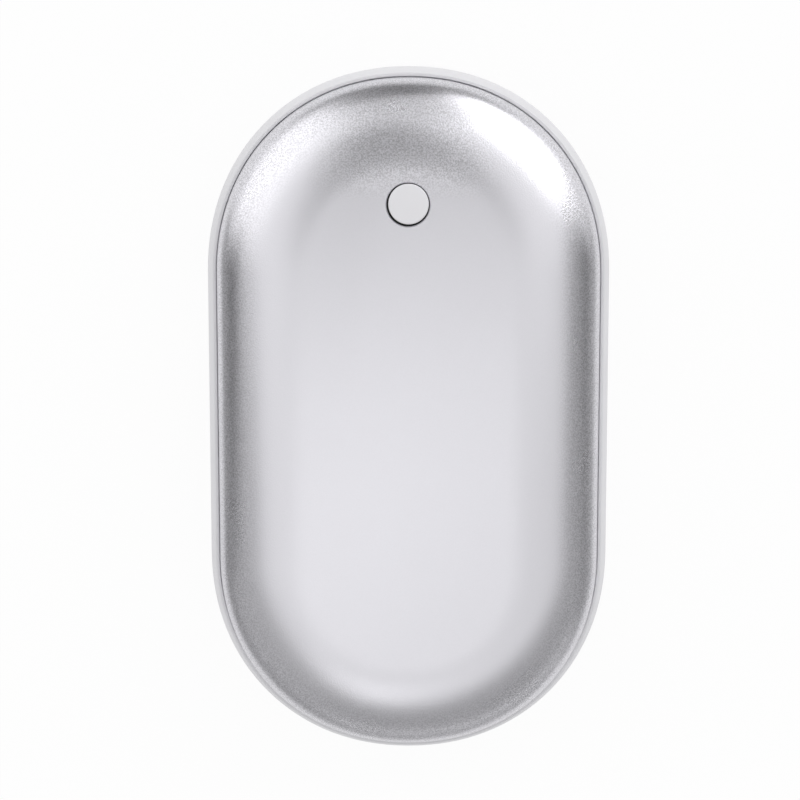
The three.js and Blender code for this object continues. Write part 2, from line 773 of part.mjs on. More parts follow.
function makeSockets() {
  const mouth = outMouthY();
  const back = mouth + outDepth;
  const outer = socketShape(outX, outWidth, outHeight, outCorner);
  const aperture = socketShape(outX, outWidth - 2 * sheet, outHeight - 2 * sheet, outCorner - sheet);
  let can = cut(solid(drawnOut(outer, mouth, back)),
    solid(drawnOut(aperture, mouth - overrun, back - sheet)));
  const start = mouth + outTongueSetback;
  for (const side of [-1, 1]) {
    const x = outX + side * outLatchX;
    can = can.subtract(block(x - outLatchWidth / 2, x + outLatchWidth / 2, start, start + outLatchLength,
      middle - outHeight, middle + outHeight));
    can = fuse(can, leafSpring(x, start, 1), leafSpring(x, start, -1));
  }
  place('usb_out_shell', can, tinPlate);

  const roof = middle + outHeight / 2 - sheet;
  const tongueTop = roof - outTongueDrop;
  const tongueBack = back - sheet - seatGap;
  const blockWidth = outWidth - 2 * (sheet + seatGap);
  const tongueHalf = outWidth / 2 - sheet - outTongueSide;
  const tongue = block(outX - tongueHalf, outX + tongueHalf, mouth + outTongueSetback, tongueBack,
    tongueTop - outTongueHeight, tongueTop);
  const housing = block(outX - blockWidth / 2, outX + blockWidth / 2, tongueBack - outBlockDepth,
    tongueBack, middle - outHeight / 2 + sheet + seatGap, tongueTop);
  place('usb_out_tongue', fuse(tongue, housing), socketPlastic);
  makeContacts(start + contactFromTip, tongueBack - outBlockDepth, tongueHalf, tongueTop - outTongueHeight);

  const inMouth = inMouthY();
  const inBack = inMouth + inDepth;
  const small = cut(solid(drawnOut(inSocketShape(0), inMouth, inBack)),
    solid(drawnOut(inSocketShape(-sheet), inMouth - overrun, inBack - sheet)));
  place('usb_in_shell', small, tinPlate);
  const inTongueBack = inBack - sheet - seatGap;
  const inTop = middle + inHeight / 2 - sheet - seatGap;
  const blade = block(inX - inTongueWidth / 2, inX + inTongueWidth / 2, inMouth + inTongueSetback,
    inTongueBack, inTop - inTongueHeight, inTop);
  const inHalf = inWidth / 2 - sheet - seatGap - inTaper;
  const stock = block(inX - inHalf, inX + inHalf, inTongueBack - inBlockDepth, inTongueBack,
    middle - inHeight / 2 + sheet + seatGap, inTop);
  place('usb_in_tongue', fuse(blade, stock), switchPlastic);
}

// Charge level lights and the clear piece that takes their light through the band
function ledX(i) {
  return ledFromSide - halfWidth - i * ledPitch;
}

function ledZ() {
  return boardTopZ + bondGap + pipeRadius;
}

function makeLights() {
  const y = boardEdgeY - ledFromEdge;
  const behind = y - ledDepth / 2 - seatGap;
  const lastX = ledX(ledCount - 1);
  const barLow = ledZ() + pipeRadius / 2;
  let pipe = block(lastX - pipeRadius, ledX(0) + pipeRadius, behind - pipeBarDepth, behind, barLow,
    barLow + pipeBarHeight);
  for (let i = 0; i < ledCount; i++) {
    const x = ledX(i);
    const half = ledWidth / 2;
    const lamp = block(x - half, x + half, y - ledDepth / 2, y + ledDepth / 2, boardTopZ,
      boardTopZ + ledHeight);
    place(`charge_led_${i + 1}`, lamp, ledYellow);
    const tip = pipeRecess - reachAt(Math.abs(x) + pipeRadius, 0);
    const finger = new THREE.CylinderGeometry(pipeRadius, pipeRadius, behind - tip, smallSides);
    pipe = pipe.add(solid(finger.translate(x, (behind + tip) / 2, ledZ())));
  }
  place('light_pipe', pipe, clearPlastic);
}

// Chips with gull legs, the power inductor and the capacitors
function chip(name, x, y) {
  const half = chipLength / 2;
  const low = boardTopZ + chipLift;
  const body = block(x - half, x + half, y - chipWidth / 2, y + chipWidth / 2, low, low + chipHeight);
  const legs = [];
  for (let i = 0; i < legsPerSide; i++) {
    const legX = x + (i - (legsPerSide - 1) / 2) * legPitch;
    const reach = chipWidth / 2 + legReach;
    legs.push(block(legX - legWidth / 2, legX + legWidth / 2, y - reach, y + reach, boardTopZ,
      boardTopZ + legThickness));
  }
  place(name, fuse(body, ...legs), blackEpoxy);
}

function makeInductor() {
  const y = boardEdgeY - inductorFromEdge;
  const half = inductorSize / 2;
  const side = half - inductorChamfer;
  const corners = [[half, -side], [half, side], [side, half], [-side, half], [-half, side], [-half, -side],
    [-side, -half], [side, -half]];
  const shape = new THREE.Shape(corners.map(([cx, cy]) => new THREE.Vector2(inductorX + cx, y + cy)));
  const body = solid(raised(shape, boardTopZ, boardTopZ + inductorHeight));
  const high = boardTopZ + inductorHeight;
  const groove = cut(post(half - inductorChamfer / 2, inductorX, y, high - inductorChamfer / 2, high + overrun),
    post(side, inductorX, y, boardTopZ, high + 2 * overrun));
  place('power_inductor', cut(body, groove), ferrite);
}

function makeBoardParts() {
  makeInductor();
  const behindSocket = outMouthY() + outDepth + seatGap;
  const chipY = behindSocket + legReach + chipWidth / 2;
  chip('boost_chip', boostX, chipY);
  const quadY = boardEdgeY - controlFromEdge;
  const quad = block(controlX - controlSize / 2, controlX + controlSize / 2, quadY - controlSize / 2,
    quadY + controlSize / 2, boardTopZ, boardTopZ + controlHeight);
  const dimpleAt = controlSize / 2 - 2 * dimpleRadius;
  const dimple = post(dimpleRadius, controlX - dimpleAt, quadY + dimpleAt,
    boardTopZ + controlHeight - dimpleRadius / 2, boardTopZ + overrun, smallSides);
  place('controller_chip', quad.subtract(dimple), blackEpoxy);
  chip('charge_chip', chargeX, chipY);
  const canY = boardEdgeY - capacitorFromEdge;
  const half = capacitorBase / 2;
  const base = block(capacitorX - half, capacitorX + half, canY - half, canY + half, boardTopZ,
    boardTopZ + capacitorBaseHeight);
  const can = post(capacitorRadius, capacitorX, canY, boardTopZ, boardTopZ + capacitorHeight);
  place('capacitor_1', fuse(base, can), tinPlate);
  const brick = block(ceramicX - ceramicWidth / 2, ceramicX + ceramicWidth / 2, behindSocket,
    behindSocket + ceramicLength, boardTopZ, boardTopZ + ceramicHeight);
  place('capacitor_2', brick, ceramic);
}

// Cells: a sleeved can with a crimp below its rolled top and a raised plus contact
function cell() {
  const crimp = cellLength - capHeight - crimpFromTop;
  const shoulder = cellLength - capHeight;
  return turned([
    [0, 0],
    [cellRadius - sleeveLip, 0],
    [cellRadius, sleeveLip / 2],
    [cellRadius, crimp - crimpWidth / 2],
    [cellRadius - crimpDepth, crimp],
    [cellRadius, crimp + crimpWidth / 2],
    [cellRadius, shoulder - sleeveLip / 2],
    [cellRadius - sleeveLip, shoulder],
    [capRadius, shoulder],
    [capRadius, cellLength],
    [0, cellLength],
  ], cellSides);
}

// Two round troughs side by side, open upwards, whose filled sections rise to the height top
function twinTroughs(radius, top) {
  const meet = Math.acos(cellX / radius);
  const half = Math.PI;
  const shape = new THREE.Shape();
  shape.absarc(-cellX, middle, radius, half, 2 * half - meet);
  shape.absarc(cellX, middle, radius, half + meet, 2 * half);
  if (top > middle) {
    shape.lineTo(cellX + radius, top);
    shape.lineTo(-cellX - radius, top);
  }
  return shape;
}

function makeBattery() {
  const front = cellTipY + seatGap + trayWall;
  const steps = cellSides / 2;
  const filled = drawnOut(twinTroughs(trayRadius, middle), trayRearY, front, steps);
  const hollow = drawnOut(twinTroughs(troughRadius, middle + overrun), trayRearY + trayWall,
    front - trayWall, steps);
  const endTop = middle - trayRadius + trayEndHeight;
  const wide = trayHalfWidth + overrun;
  const lowered = (y0, y1) => block(-wide, wide, y0, y1, endTop, middle + overrun);
  let tray = cut(solid(filled), solid(hollow), lowered(trayRearY - overrun, cellRearY),
    lowered(cellTipY, front + overrun));
  let number = 0;
  for (const y of [-lugY, lugY]) {
    for (const side of [-1, 1]) {
      const edges = [side * (trayHalfWidth - weld), side * (trayHalfWidth + flangeReach)];
      edges.sort((a, b) => a - b);
      const x = side * lugScrewX;
      tray = tray.add(block(...edges, y - lugWidth / 2, y + lugWidth / 2, boardSeatZ, boardTopZ));
      tray = tray.subtract(screwHole(x, y));
      number += 1;
      place(`tray_screw_${number}`, screw(x, y), steel);
    }
  }
  place('cell_tray', tray, trayPlastic);

  const names = ['cell_left', 'cell_right'];
  [-cellX, cellX].forEach((x, i) => {
    place(names[i], cell().rotateX(-Math.PI / 2), sleeveBlue).position.set(x, cellRearY, middle);
  });
  const low = middle - stripHeight / 2;
  const plus = roundedRectangle(0, 0, stripWidth, stripHeight, stripHeight / 4);
  const standing = () => drawnOut(plus, -stripThickness, 0).translate(0, 0, low + stripHeight / 2);
  place('plus_strip', standing(), nickel).position.y = cellTipY + stripThickness;
  place('minus_strip', standing(), nickel).position.y = cellRearY;
}

// Film heaters on the shells' inner faces, foam between them and the cells
function makeHeaters() {
  const film = solid(loft([[heaterInset, heaterBottomZ], [heaterInset, innerFaceZ]]));
  const front = block(-halfWidth, halfWidth, -halfLength, heaterFrontY, heaterBottomZ - overrun,
    innerFaceZ + overrun);
  place('front_heater', film.intersect(front), amberFilm);
  placeOnBack('back_heater', film.intersect(front), amberFilm);

  const padY = (heaterFrontY + padRearY) / 2;
  const pad = roundedRectangle(0, padY, 2 * (halfWidth - padFromSide), heaterFrontY - padRearY, padCorner);
  place('front_pad', raised(pad, middle + cellRadius + seatGap, heaterBottomZ), greyFoam);
  const backTop = middle - trayRadius - seatGap;
  place('back_pad', raised(pad, bodyHeight - heaterBottomZ, backTop), greyFoam);
}

// A lead along points, each [x, y, z]
function lead(name, points, diameter, material) {
  const path = new THREE.CatmullRomCurve3(points.map((p) => new THREE.Vector3(...p)), false, 'centripetal');
  const section = [];
  for (let i = 0; i < leadSides; i++) {
    const angle = (2 * Math.PI * i) / leadSides;
    section.push(new THREE.Vector2(Math.cos(angle), Math.sin(angle)).multiplyScalar(diameter / 2));
  }
  const steps = Math.ceil(path.getLength() / (3 * diameter));
  const tube = new THREE.ExtrudeGeometry(new THREE.Shape(section), { steps, extrudePath: path,
    bevelEnabled: false });
  place(name, tube, material);
}

function makeLeads() {
  const above = boardTopZ + seatGap;
  const valleyZ = middle + stripHeight / 2 + seatGap + thickLead / 2;
  lead('battery_lead_red', [
    [0, cellTipY, valleyZ],
    [0, cellTipY / 2, valleyZ],
    [0, cellRearY, valleyZ],
    [0, boardEdgeY, valleyZ - thickLead / 2],
    [0, solderY, valleyZ - thickLead],
    [0, solderY - thickLead / 4, above],
  ], thickLead, redLead);

  const stripFace = cellRearY - stripThickness - seatGap;
  lead('battery_lead_black', [
    [batteryLeadPitch, stripFace, middle + stripHeight / 3],
    [batteryLeadPitch, boardEdgeY + boardGap, middle + stripHeight / 3],
    [batteryLeadPitch, solderY, above + thickLead],
    [batteryLeadPitch, solderY - thickLead / 4, above],
  ], thickLead, blackLead);

  const filmLow = heaterBottomZ - seatGap - thinLead / 2;
  const filmEndY = padRearY - seatGap;
  const backFilm = bodyHeight - filmLow;
  [-1, 1].forEach((side, i) => {
    const x = side * 2 * leadPitch;
    lead(`front_heater_lead_${i + 1}`, [
      [x, filmEndY - thinLead, filmLow],
      [x, boardEdgeY, filmLow - thinLead / 2],
      [x, solderY, filmLow - 3 * thinLead],
      [x, solderY, middle + stripHeight / 2],
      [x, solderY, above],
    ], thinLead, whiteLead);
    lead(`back_heater_lead_${i + 1}`, [
      [x, boardEdgeY, backFilm],
      [x, solderY - thinLead, backFilm + thinLead / 2],
      [x, solderY - 1.5 * thinLead, backFilm + 3 * thinLead],
      [x, solderY, boardSeatZ - 2 * thinLead],
      [x, solderY, boardSeatZ - seatGap],
    ], thinLead, whiteLead);
  });

  // The switch's leads pass beside the right cell
  const sideZ = boardTopZ + screwHeadHeight + 2 * thinLead;
  [0, 1].forEach((i) => {
    const x = sideLeadX + i * leadPitch;
    const padX = switchBoardWidth / 2 - thinLead;
    const padY = buttonY + (i + 1) * leadPitch;
    const endX = mainScrewX - screwHeadRadius - (2 - i) * leadPitch;
    lead(`switch_lead_${i + 1}`, [
      [padX, padY, above],
      [padX, padY, above + 2 * thinLead],
      [(padX + x) / 2, padY - leadPitch, sideZ],
      [x, cellTipY - 2 * leadPitch, sideZ],
      [x, lugY, sideZ],
      [x, -lugY, sideZ],
      [x, boardEdgeY + 3 * leadPitch, sideZ],
      [endX, solderY, above + 2 * thinLead],
      [endX, solderY - thinLead / 4, above],
    ], thinLead, blackLead);
  });

  // The sensor's bead lies against the front film
  const bead = new THREE.SphereGeometry(beadRadius, smallSides, smallSides / 2);
  const beadZ = heaterBottomZ - seatGap / 2 - beadRadius;
  place('thermistor', bead, ceramic).position.set(beadX, filmEndY - beadRadius, beadZ);
  lead('thermistor_lead', [
    [beadX, filmEndY - 2 * beadRadius - seatGap / 2, beadZ],
    [beadX, boardEdgeY, beadZ - thinLead / 2],
    [beadX, solderY, beadZ - 3 * thinLead],
    [beadX, solderY, middle + stripHeight / 2],
    [beadX, solderY, above],
  ], thinLead, whiteLead);
}

makeShells();
makeBand();
makeLiners();
makeButton();
makeSwitch();
makeBoards();
makeSockets();
makeLights();
makeBoardParts();
makeBattery();
makeHeaters();
makeLeads();

export default warmer;
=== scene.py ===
# Rechargeable hand warmer: fine shells, band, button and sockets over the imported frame, and a
# finish for every piece. Metres; +Z out of the face with the button, +Y towards its end.
import json
import math

import bmesh
import bpy
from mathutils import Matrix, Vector

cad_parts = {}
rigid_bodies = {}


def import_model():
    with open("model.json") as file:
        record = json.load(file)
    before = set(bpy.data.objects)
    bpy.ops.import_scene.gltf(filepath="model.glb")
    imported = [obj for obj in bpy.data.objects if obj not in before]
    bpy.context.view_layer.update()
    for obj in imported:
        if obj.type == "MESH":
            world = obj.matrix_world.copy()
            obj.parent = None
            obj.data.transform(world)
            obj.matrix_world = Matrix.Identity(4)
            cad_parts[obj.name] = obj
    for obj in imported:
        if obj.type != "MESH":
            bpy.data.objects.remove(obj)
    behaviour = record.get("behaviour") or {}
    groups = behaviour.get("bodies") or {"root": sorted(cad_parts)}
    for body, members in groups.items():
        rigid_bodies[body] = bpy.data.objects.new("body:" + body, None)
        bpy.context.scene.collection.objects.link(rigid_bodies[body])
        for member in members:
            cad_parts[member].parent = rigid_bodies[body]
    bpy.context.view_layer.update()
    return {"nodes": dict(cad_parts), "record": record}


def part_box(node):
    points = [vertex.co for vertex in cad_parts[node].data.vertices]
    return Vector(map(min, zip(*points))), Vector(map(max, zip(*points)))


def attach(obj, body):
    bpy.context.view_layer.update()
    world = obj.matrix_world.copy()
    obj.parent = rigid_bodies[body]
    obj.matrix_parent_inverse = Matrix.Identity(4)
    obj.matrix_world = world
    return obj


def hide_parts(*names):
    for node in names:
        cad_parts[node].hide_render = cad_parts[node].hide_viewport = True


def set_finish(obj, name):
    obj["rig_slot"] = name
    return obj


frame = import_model()

MM = 0.001
NEAR = MM / 100  # how near to a plane a point counts as on it
WHITE = (1, 1, 1, 1)

# What the frame gives
band_low, band_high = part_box("middle_frame")
shell_low, shell_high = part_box("front_shell")
cap_low, cap_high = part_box("button_cap")
HALF_WIDTH = band_high.x
HALF_LENGTH = band_high.y
MIDDLE = (band_low.z + band_high.z) / 2
HALF_BAND = (band_high.z - band_low.z) / 2
BODY_HEIGHT = shell_high.z
RIM = shell_low.z
SHELL_INSET = HALF_WIDTH - shell_high.x
BUTTON_Y = (cap_low.y + cap_high.y) / 2

# Outline, shells and band
END_ROUND = 33 * MM
END_POWER = 2.1
END_STEPS = 64
SHOULDER_WIDTH = 15 * MM
SHOULDER_POWER = 2.2
SHOULDER_STEPS = 26
SKIRT = 1 * MM
SHELL_WALL = 0.9 * MM
RIM_ROUND = 0.12 * MM
BAND_BULGE = 1.1 * MM
BAND_LIP = 0.54 * MM
BAND_WALL = 3 * MM
BAND_STEPS = 14
LIP_ROUND = 0.12 * MM
KEEP_INSIDE = 2.95 * MM  # what stands on the band's inner wall lies within this line

# Button and its hole
HOLE_RADIUS = 3.38 * MM
HOLE_X = -0.07 * MM
HOLE_Y = BUTTON_Y - 0.09 * MM
HOLE_CHAMFER = 0.15 * MM
CAP_RADIUS = 3.15 * MM
CAP_ROUND = 0.25 * MM
CAP_STEPS = 6
STEM_RADIUS = 1.7 * MM
FLANGE_THICKNESS = 0.8 * MM
FLANGE_GAP = 0.3 * MM
TURNED_SIDES = 128
OVERRUN = 3 * MM  # how far a cutting tool reaches past what it cuts


# Modelling by hand: everything is deselected, a primitive is added and shaped in edit mode
def add(operator, name, **settings):
    """Adds a primitive and applies its place to its mesh."""
    bpy.ops.object.select_all(action="DESELECT")
    operator(**settings)
    piece = bpy.context.object
    piece.name = name
    bpy.ops.object.transform_apply(location=True, rotation=True, scale=True)
    return piece


def take(piece):
    """Selects one object and nothing else."""
    bpy.ops.object.select_all(action="DESELECT")
    piece.select_set(True)
    bpy.context.view_layer.objects.active = piece


def edit(piece):
    take(piece)
    bpy.ops.object.mode_set(mode="EDIT")


def leave():
    bpy.ops.object.mode_set(mode="OBJECT")


def pick(piece, kind, keep):
    """Selects the vertices, edges or faces for which keep says so, and nothing else."""
    mesh = bmesh.from_edit_mesh(piece.data)
    bpy.ops.mesh.select_mode(type={"verts": "VERT", "edges": "EDGE", "faces": "FACE"}[kind])
    bpy.ops.mesh.select_all(action="DESELECT")
    for element in getattr(mesh, kind):
        if keep(element):
            element.select_set(True)
    mesh.select_flush_mode()
    bmesh.update_edit_mesh(piece.data)


def pick_corners(piece, axis, places, angle=60):
    """Selects the edges sharper than angle that lie in one of the planes across axis at places."""
    pick(piece, "edges", lambda edge: edge.calc_face_angle(0) > math.radians(angle) and any(
        all(abs(getattr(v.co, axis) - place) < NEAR for v in edge.verts) for place in places))


def turn_outwards():
    """Points the normals of the whole piece in edit mode outwards."""
    bpy.ops.mesh.select_all(action="SELECT")
    bpy.ops.mesh.normals_make_consistent(inside=False)


def apply(piece, kind, **settings):
    """Applies a modifier with these settings."""
    take(piece)
    bpy.ops.object.modifier_add(type=kind)
    modifier = piece.modifiers[-1]
    for key, value in settings.items():
        setattr(modifier, key, value)
    bpy.ops.object.modifier_apply(modifier=modifier.name)


def cut_with(piece, tool, operation="DIFFERENCE"):
    """Cuts a piece with a tool, or joins them, and uses the tool up."""
    apply(piece, "BOOLEAN", operation=operation, object=tool, solver="EXACT")
    bpy.data.objects.remove(tool)


def copied(piece, name, move):
    """A copy with its own mesh, moved by move."""
    take(piece)
    bpy.ops.object.duplicate()
    twin = bpy.context.object
    twin.name = name
    twin.location = move
    bpy.ops.object.transform_apply(location=True, rotation=False, scale=False)
    return twin


def smooth(piece, angle=32):
    take(piece)
    bpy.ops.object.shade_smooth_by_angle(angle=math.radians(angle))


def done(piece, body, slot, *nodes):
    """Hands a finished piece over: what it rides on, its slot and the nodes it stands for."""
    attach(piece, body)
    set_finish(piece, slot)
    if nodes:
        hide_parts(*nodes)


def outline(inset):
    """The body's outline, a stadium with slightly squared ends, this far inside its widest line."""
    points = []
    for end in (1, -1):
        for step in range(END_STEPS + 1):
            angle = math.pi * step / END_STEPS
            across = math.copysign(abs(math.cos(angle)) ** (2 / END_POWER), math.cos(angle))
            along = abs(math.sin(angle)) ** (2 / END_POWER)
            y = HALF_LENGTH - END_ROUND + (END_ROUND - inset) * along
            points.append((end * (HALF_WIDTH - inset) * across, end * y))
    return points


def start_ring(name, inset, z):
    """A piece that starts as one ring on the outline, open in edit mode with the ring selected."""
    start = outline(inset)
    piece = add(bpy.ops.mesh.primitive_circle_add, name, vertices=len(start), radius=HALF_WIDTH)
    for vertex, (x, y) in zip(piece.data.vertices, start):
        vertex.co = (x, y, z)
    edit(piece)
    bpy.ops.mesh.select_mode(type="VERT")
    bpy.ops.mesh.select_all(action="SELECT")
    return piece


def pull_ring(piece, now, then):
    """Extrudes the selected ring from (inset, z) now to then, and closes each rounded end in on
    its centre."""
    rise = then[1] - now[1]
    bpy.ops.mesh.extrude_region_move(TRANSFORM_OT_translate={"value": (0, 0, rise)})
    if then[0] == now[0]:
        return
    mesh = bmesh.from_edit_mesh(piece.data)
    ring = [vertex for vertex in mesh.verts if vertex.select]
    across = (HALF_WIDTH - then[0]) / (HALF_WIDTH - now[0])
    along = (END_ROUND - then[0]) / (END_ROUND - now[0])
    for end in (1, -1):
        for vertex in ring:
            vertex.select_set(vertex.co.y * end > 0)
        mesh.select_flush_mode()
        centre = (0, end * (HALF_LENGTH - END_ROUND), then[1])
        bpy.ops.transform.resize(value=(across, along, 1), center_override=centre)
    for vertex in ring:
        vertex.select_set(True)
    mesh.select_flush_mode()


def lofted(name, rings):
    """A wall through rings of (inset, z), open in edit mode with its last ring selected."""
    piece = start_ring(name, *rings[0])
    for now, then in zip(rings, rings[1:]):
        pull_ring(piece, now, then)
    return piece


def filled(name, inset, low, high):
    """A solid plug of the outline, which keeps or cuts what lies within it."""
    piece = start_ring(name, inset, low)
    bpy.ops.mesh.edge_face_add()
    bpy.ops.mesh.extrude_region_move(TRANSFORM_OT_translate={"value": (0, 0, high - low)})
    turn_outwards()
    leave()
    return piece


def turned(name, x, y, profile):
    """A solid turned about an upright axis: the profile's (radius, z), from its foot to its top."""
    radius, z = profile[0]
    piece = add(bpy.ops.mesh.primitive_circle_add, name, vertices=TURNED_SIDES, radius=radius,
        fill_type="NGON", location=(x, y, z))
    edit(piece)
    bpy.ops.mesh.select_all(action="SELECT")
    for (radius_now, z_now), (radius_then, z_then) in zip(profile, profile[1:]):
        bpy.ops.mesh.extrude_region_move(TRANSFORM_OT_translate={"value": (0, 0, z_then - z_now)})
        share = radius_then / radius_now
        if share != 1:
            bpy.ops.transform.resize(value=(share, share, 1), center_override=(x, y, z_then))
    turn_outwards()
    leave()
    return piece


def block(name, low, high, bevel=0):
    """A box between two corners, its edges rounded by bevel."""
    low, high = Vector(low), Vector(high)
    piece = add(bpy.ops.mesh.primitive_cube_add, name, size=1, location=(low + high) / 2,
        scale=high - low)
    if bevel:
        edit(piece)
        bpy.ops.mesh.select_all(action="SELECT")
        bpy.ops.mesh.bevel(offset=bevel, segments=3, affect="EDGES", clamp_overlap=True)
        leave()
    return piece


# Shells
def shoulder():
    """A shell's section from its rim up its skirt and round its shoulder, as (inset, height)."""
    rise = BODY_HEIGHT - RIM - SKIRT
    rings = [(SHELL_INSET, 0.0)]
    for step in range(SHOULDER_STEPS + 1):
        angle = math.pi / 2 * step / SHOULDER_STEPS
        across = max(math.cos(angle), 0) ** (2 / SHOULDER_POWER)
        up = math.sin(angle) ** (2 / SHOULDER_POWER)
        rings.append((SHELL_INSET + SHOULDER_WIDTH * (1 - across), SKIRT + rise * up))
    return rings


def make_shell(name, up):
    """A drawn shell, open at its rim, facing up (1) or down (-1)."""
    rings = [(inset, MIDDLE + up * (RIM - MIDDLE + height)) for inset, height in shoulder()]
    piece = lofted(name, rings)
    bpy.ops.mesh.edge_face_add()
    turn_outwards()
    leave()
    apply(piece, "SOLIDIFY", thickness=SHELL_WALL, offset=-1, use_even_offset=True)
    edit(piece)
    pick_corners(piece, "z", [MIDDLE + up * (RIM - MIDDLE)])
    bpy.ops.mesh.bevel(offset=RIM_ROUND, segments=2, affect="EDGES")
    leave()
    return piece


def make_shells():
    front = make_shell("front_shell_fine", 1)
    top = BODY_HEIGHT
    flare = HOLE_CHAMFER + OVERRUN
    hole = turned("hole", HOLE_X, HOLE_Y, [
        (HOLE_RADIUS, top - OVERRUN),
        (HOLE_RADIUS, top - HOLE_CHAMFER),
        (HOLE_RADIUS + flare, top + OVERRUN),
    ])
    cut_with(front, hole)
    smooth(front)
    done(front, "housing", "shell_aluminium", "front_shell")
    back = make_shell("back_shell_fine", -1)
    smooth(back)
    done(back, "housing", "shell_aluminium", "back_shell")


# Middle band
def band_rings():
    """The band's section as (inset, z): its bulge, its lips and the rebates for the shells."""
    radius = (HALF_BAND ** 2 + BAND_BULGE ** 2) / (2 * BAND_BULGE)
    sweep = math.asin(HALF_BAND / radius)
    rings = []
    for step in range(BAND_STEPS + 1):
        angle = sweep * (2 * step / BAND_STEPS - 1)
        rings.append((radius * (1 - math.cos(angle)), MIDDLE + radius * math.sin(angle)))
    lip = BAND_BULGE + BAND_LIP
    floor = 2 * MIDDLE - RIM
    rings += [
        (lip, MIDDLE + HALF_BAND),
        (lip, RIM),
        (BAND_WALL, RIM),
        (BAND_WALL, floor),
        (lip, floor),
        (lip, MIDDLE - HALF_BAND),
    ]
    return rings


def fine_ring():
    """The band's bulging ring, closed on its inner side, its lips rounded."""
    ring = lofted("middle_frame_fine", band_rings())
    mesh = bmesh.from_edit_mesh(ring.data)
    for vertex in mesh.verts:
        if any(edge.is_boundary for edge in vertex.link_edges):
            vertex.select_set(True)
    mesh.select_flush_mode()
    bpy.ops.mesh.bridge_edge_loops()
    turn_outwards()
    pick_corners(ring, "z", [MIDDLE - HALF_BAND, MIDDLE + HALF_BAND], angle=30)
    bpy.ops.mesh.bevel(offset=LIP_ROUND, segments=3, affect="EDGES")
    leave()
    return ring


def carried_inside():
    """A copy of what the band's node carries on its inner wall: ledges, posts and seats."""
    inside = frame["nodes"]["middle_frame"].copy()
    inside.data = inside.data.copy()
    inside.parent = None
    inside.name = "band_inside"
    bpy.context.scene.collection.objects.link(inside)
    edit(inside)
    bpy.ops.mesh.select_all(action="SELECT")
    bpy.ops.mesh.remove_doubles(threshold=NEAR / 10)
    leave()
    cut_with(inside, filled("within", KEEP_INSIDE, 0, BODY_HEIGHT), "INTERSECT")
    return inside


def make_band():
    """The ring is opened before it is joined to what it carries, which keeps the mesh closed."""
    band = fine_ring()
    for opening in make_openings():
        cut_with(band, opening)
    cut_with(band, carried_inside(), "UNION")
    edit(band)
    # The curve's end is drawn back to where its node ends
    pick(band, "verts", lambda vertex: vertex.co.y < band_low.y)
    bpy.ops.transform.resize(value=(1, 0, 1), center_override=(0, band_low.y, 0))
    bpy.ops.mesh.select_all(action="SELECT")
    bpy.ops.mesh.remove_doubles(threshold=NEAR / 100)
    leave()
    smooth(band, angle=30)
    done(band, "housing", "band_plastic", "middle_frame")


# The band's openings for the sockets and lamps, in the end away from the button
out_low, out_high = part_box("usb_out_shell")
in_low, in_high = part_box("usb_in_shell")
pipe_low, pipe_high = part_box("light_pipe")
LAMPS = 4
SHEET = 0.3 * MM  # the metal of the cans
MOUTH_TRIM = 0.1 * MM
POCKET_GAP = 0.3 * MM
OUT_CORNER = 0.6 * MM
IN_TAPER = 0.9 * MM
PIPE_RADIUS = 0.5 * MM
PIPE_Z = pipe_low.z + PIPE_RADIUS
LAMP_HOLE_GAP = 0.16 * MM  # takes a hole just past the one in the node
ROD_SIDES = 32


def socket_prism(name, grow, y0, y1, corner):
    """A round-cornered prism along Y around the large socket, wider than it by grow (x, z)."""
    size = out_high - out_low
    length = y1 - y0
    piece = add(bpy.ops.mesh.primitive_cube_add, name, size=1,
        location=((out_low.x + out_high.x) / 2, (y0 + y1) / 2, (out_low.z + out_high.z) / 2),
        scale=(size.x + 2 * grow[0], length, size.z + 2 * grow[1]))
    edit(piece)
    pick(piece, "edges", lambda edge: abs(edge.verts[0].co.y - edge.verts[1].co.y) > length / 2)
    bpy.ops.mesh.bevel(offset=corner, segments=6, affect="EDGES")
    leave()
    return piece


def charge_prism(name, grow, y0, y1):
    """The small socket's prism: its lower half narrows downwards, and grow widens it all round."""
    centre = (in_low + in_high) / 2
    width = in_high.x - in_low.x + 2 * grow
    piece = add(bpy.ops.mesh.primitive_cube_add, name, size=1,
        location=(centre.x, (y0 + y1) / 2, centre.z),
        scale=(width, y1 - y0, in_high.z - in_low.z + 2 * grow))
    edit(piece)
    bpy.ops.mesh.select_all(action="SELECT")
    bpy.ops.mesh.bisect(plane_co=(0, 0, centre.z), plane_no=(0, 0, 1))
    pick(piece, "verts", lambda vertex: vertex.co.z < centre.z - NEAR)
    bpy.ops.transform.resize(value=((width - 2 * IN_TAPER) / width, 1, 1),
        center_override=(centre.x, 0, centre.z))
    leave()
    return piece


def lamp_places():
    """The middle of each charge lamp across the body, from its node."""
    boxes = [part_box(f"charge_led_{number}") for number in range(1, LAMPS + 1)]
    return [(low.x + high.x) / 2 for low, high in boxes]


def make_openings():
    """The tools that cut the mouths, the pockets round the sockets and the lamp holes."""
    outside = -HALF_LENGTH - OVERRUN
    inside = out_high.y
    tools = [
        socket_prism("out_mouth", (-SHEET - MOUTH_TRIM, -SHEET), outside, inside, OUT_CORNER),
        socket_prism("out_pocket", (POCKET_GAP, POCKET_GAP), out_low.y - POCKET_GAP, inside,
            OUT_CORNER),
        charge_prism("in_mouth", -SHEET - MOUTH_TRIM / 2, outside, inside),
        charge_prism("in_pocket", POCKET_GAP, in_low.y - POCKET_GAP, inside),
    ]
    for x in lamp_places():
        tools.append(add(bpy.ops.mesh.primitive_cylinder_add, "lamp_hole", vertices=ROD_SIDES,
            radius=PIPE_RADIUS + LAMP_HOLE_GAP, depth=inside - outside,
            location=(x, (inside + outside) / 2, PIPE_Z), rotation=(math.pi / 2, 0, 0)))
    return tools


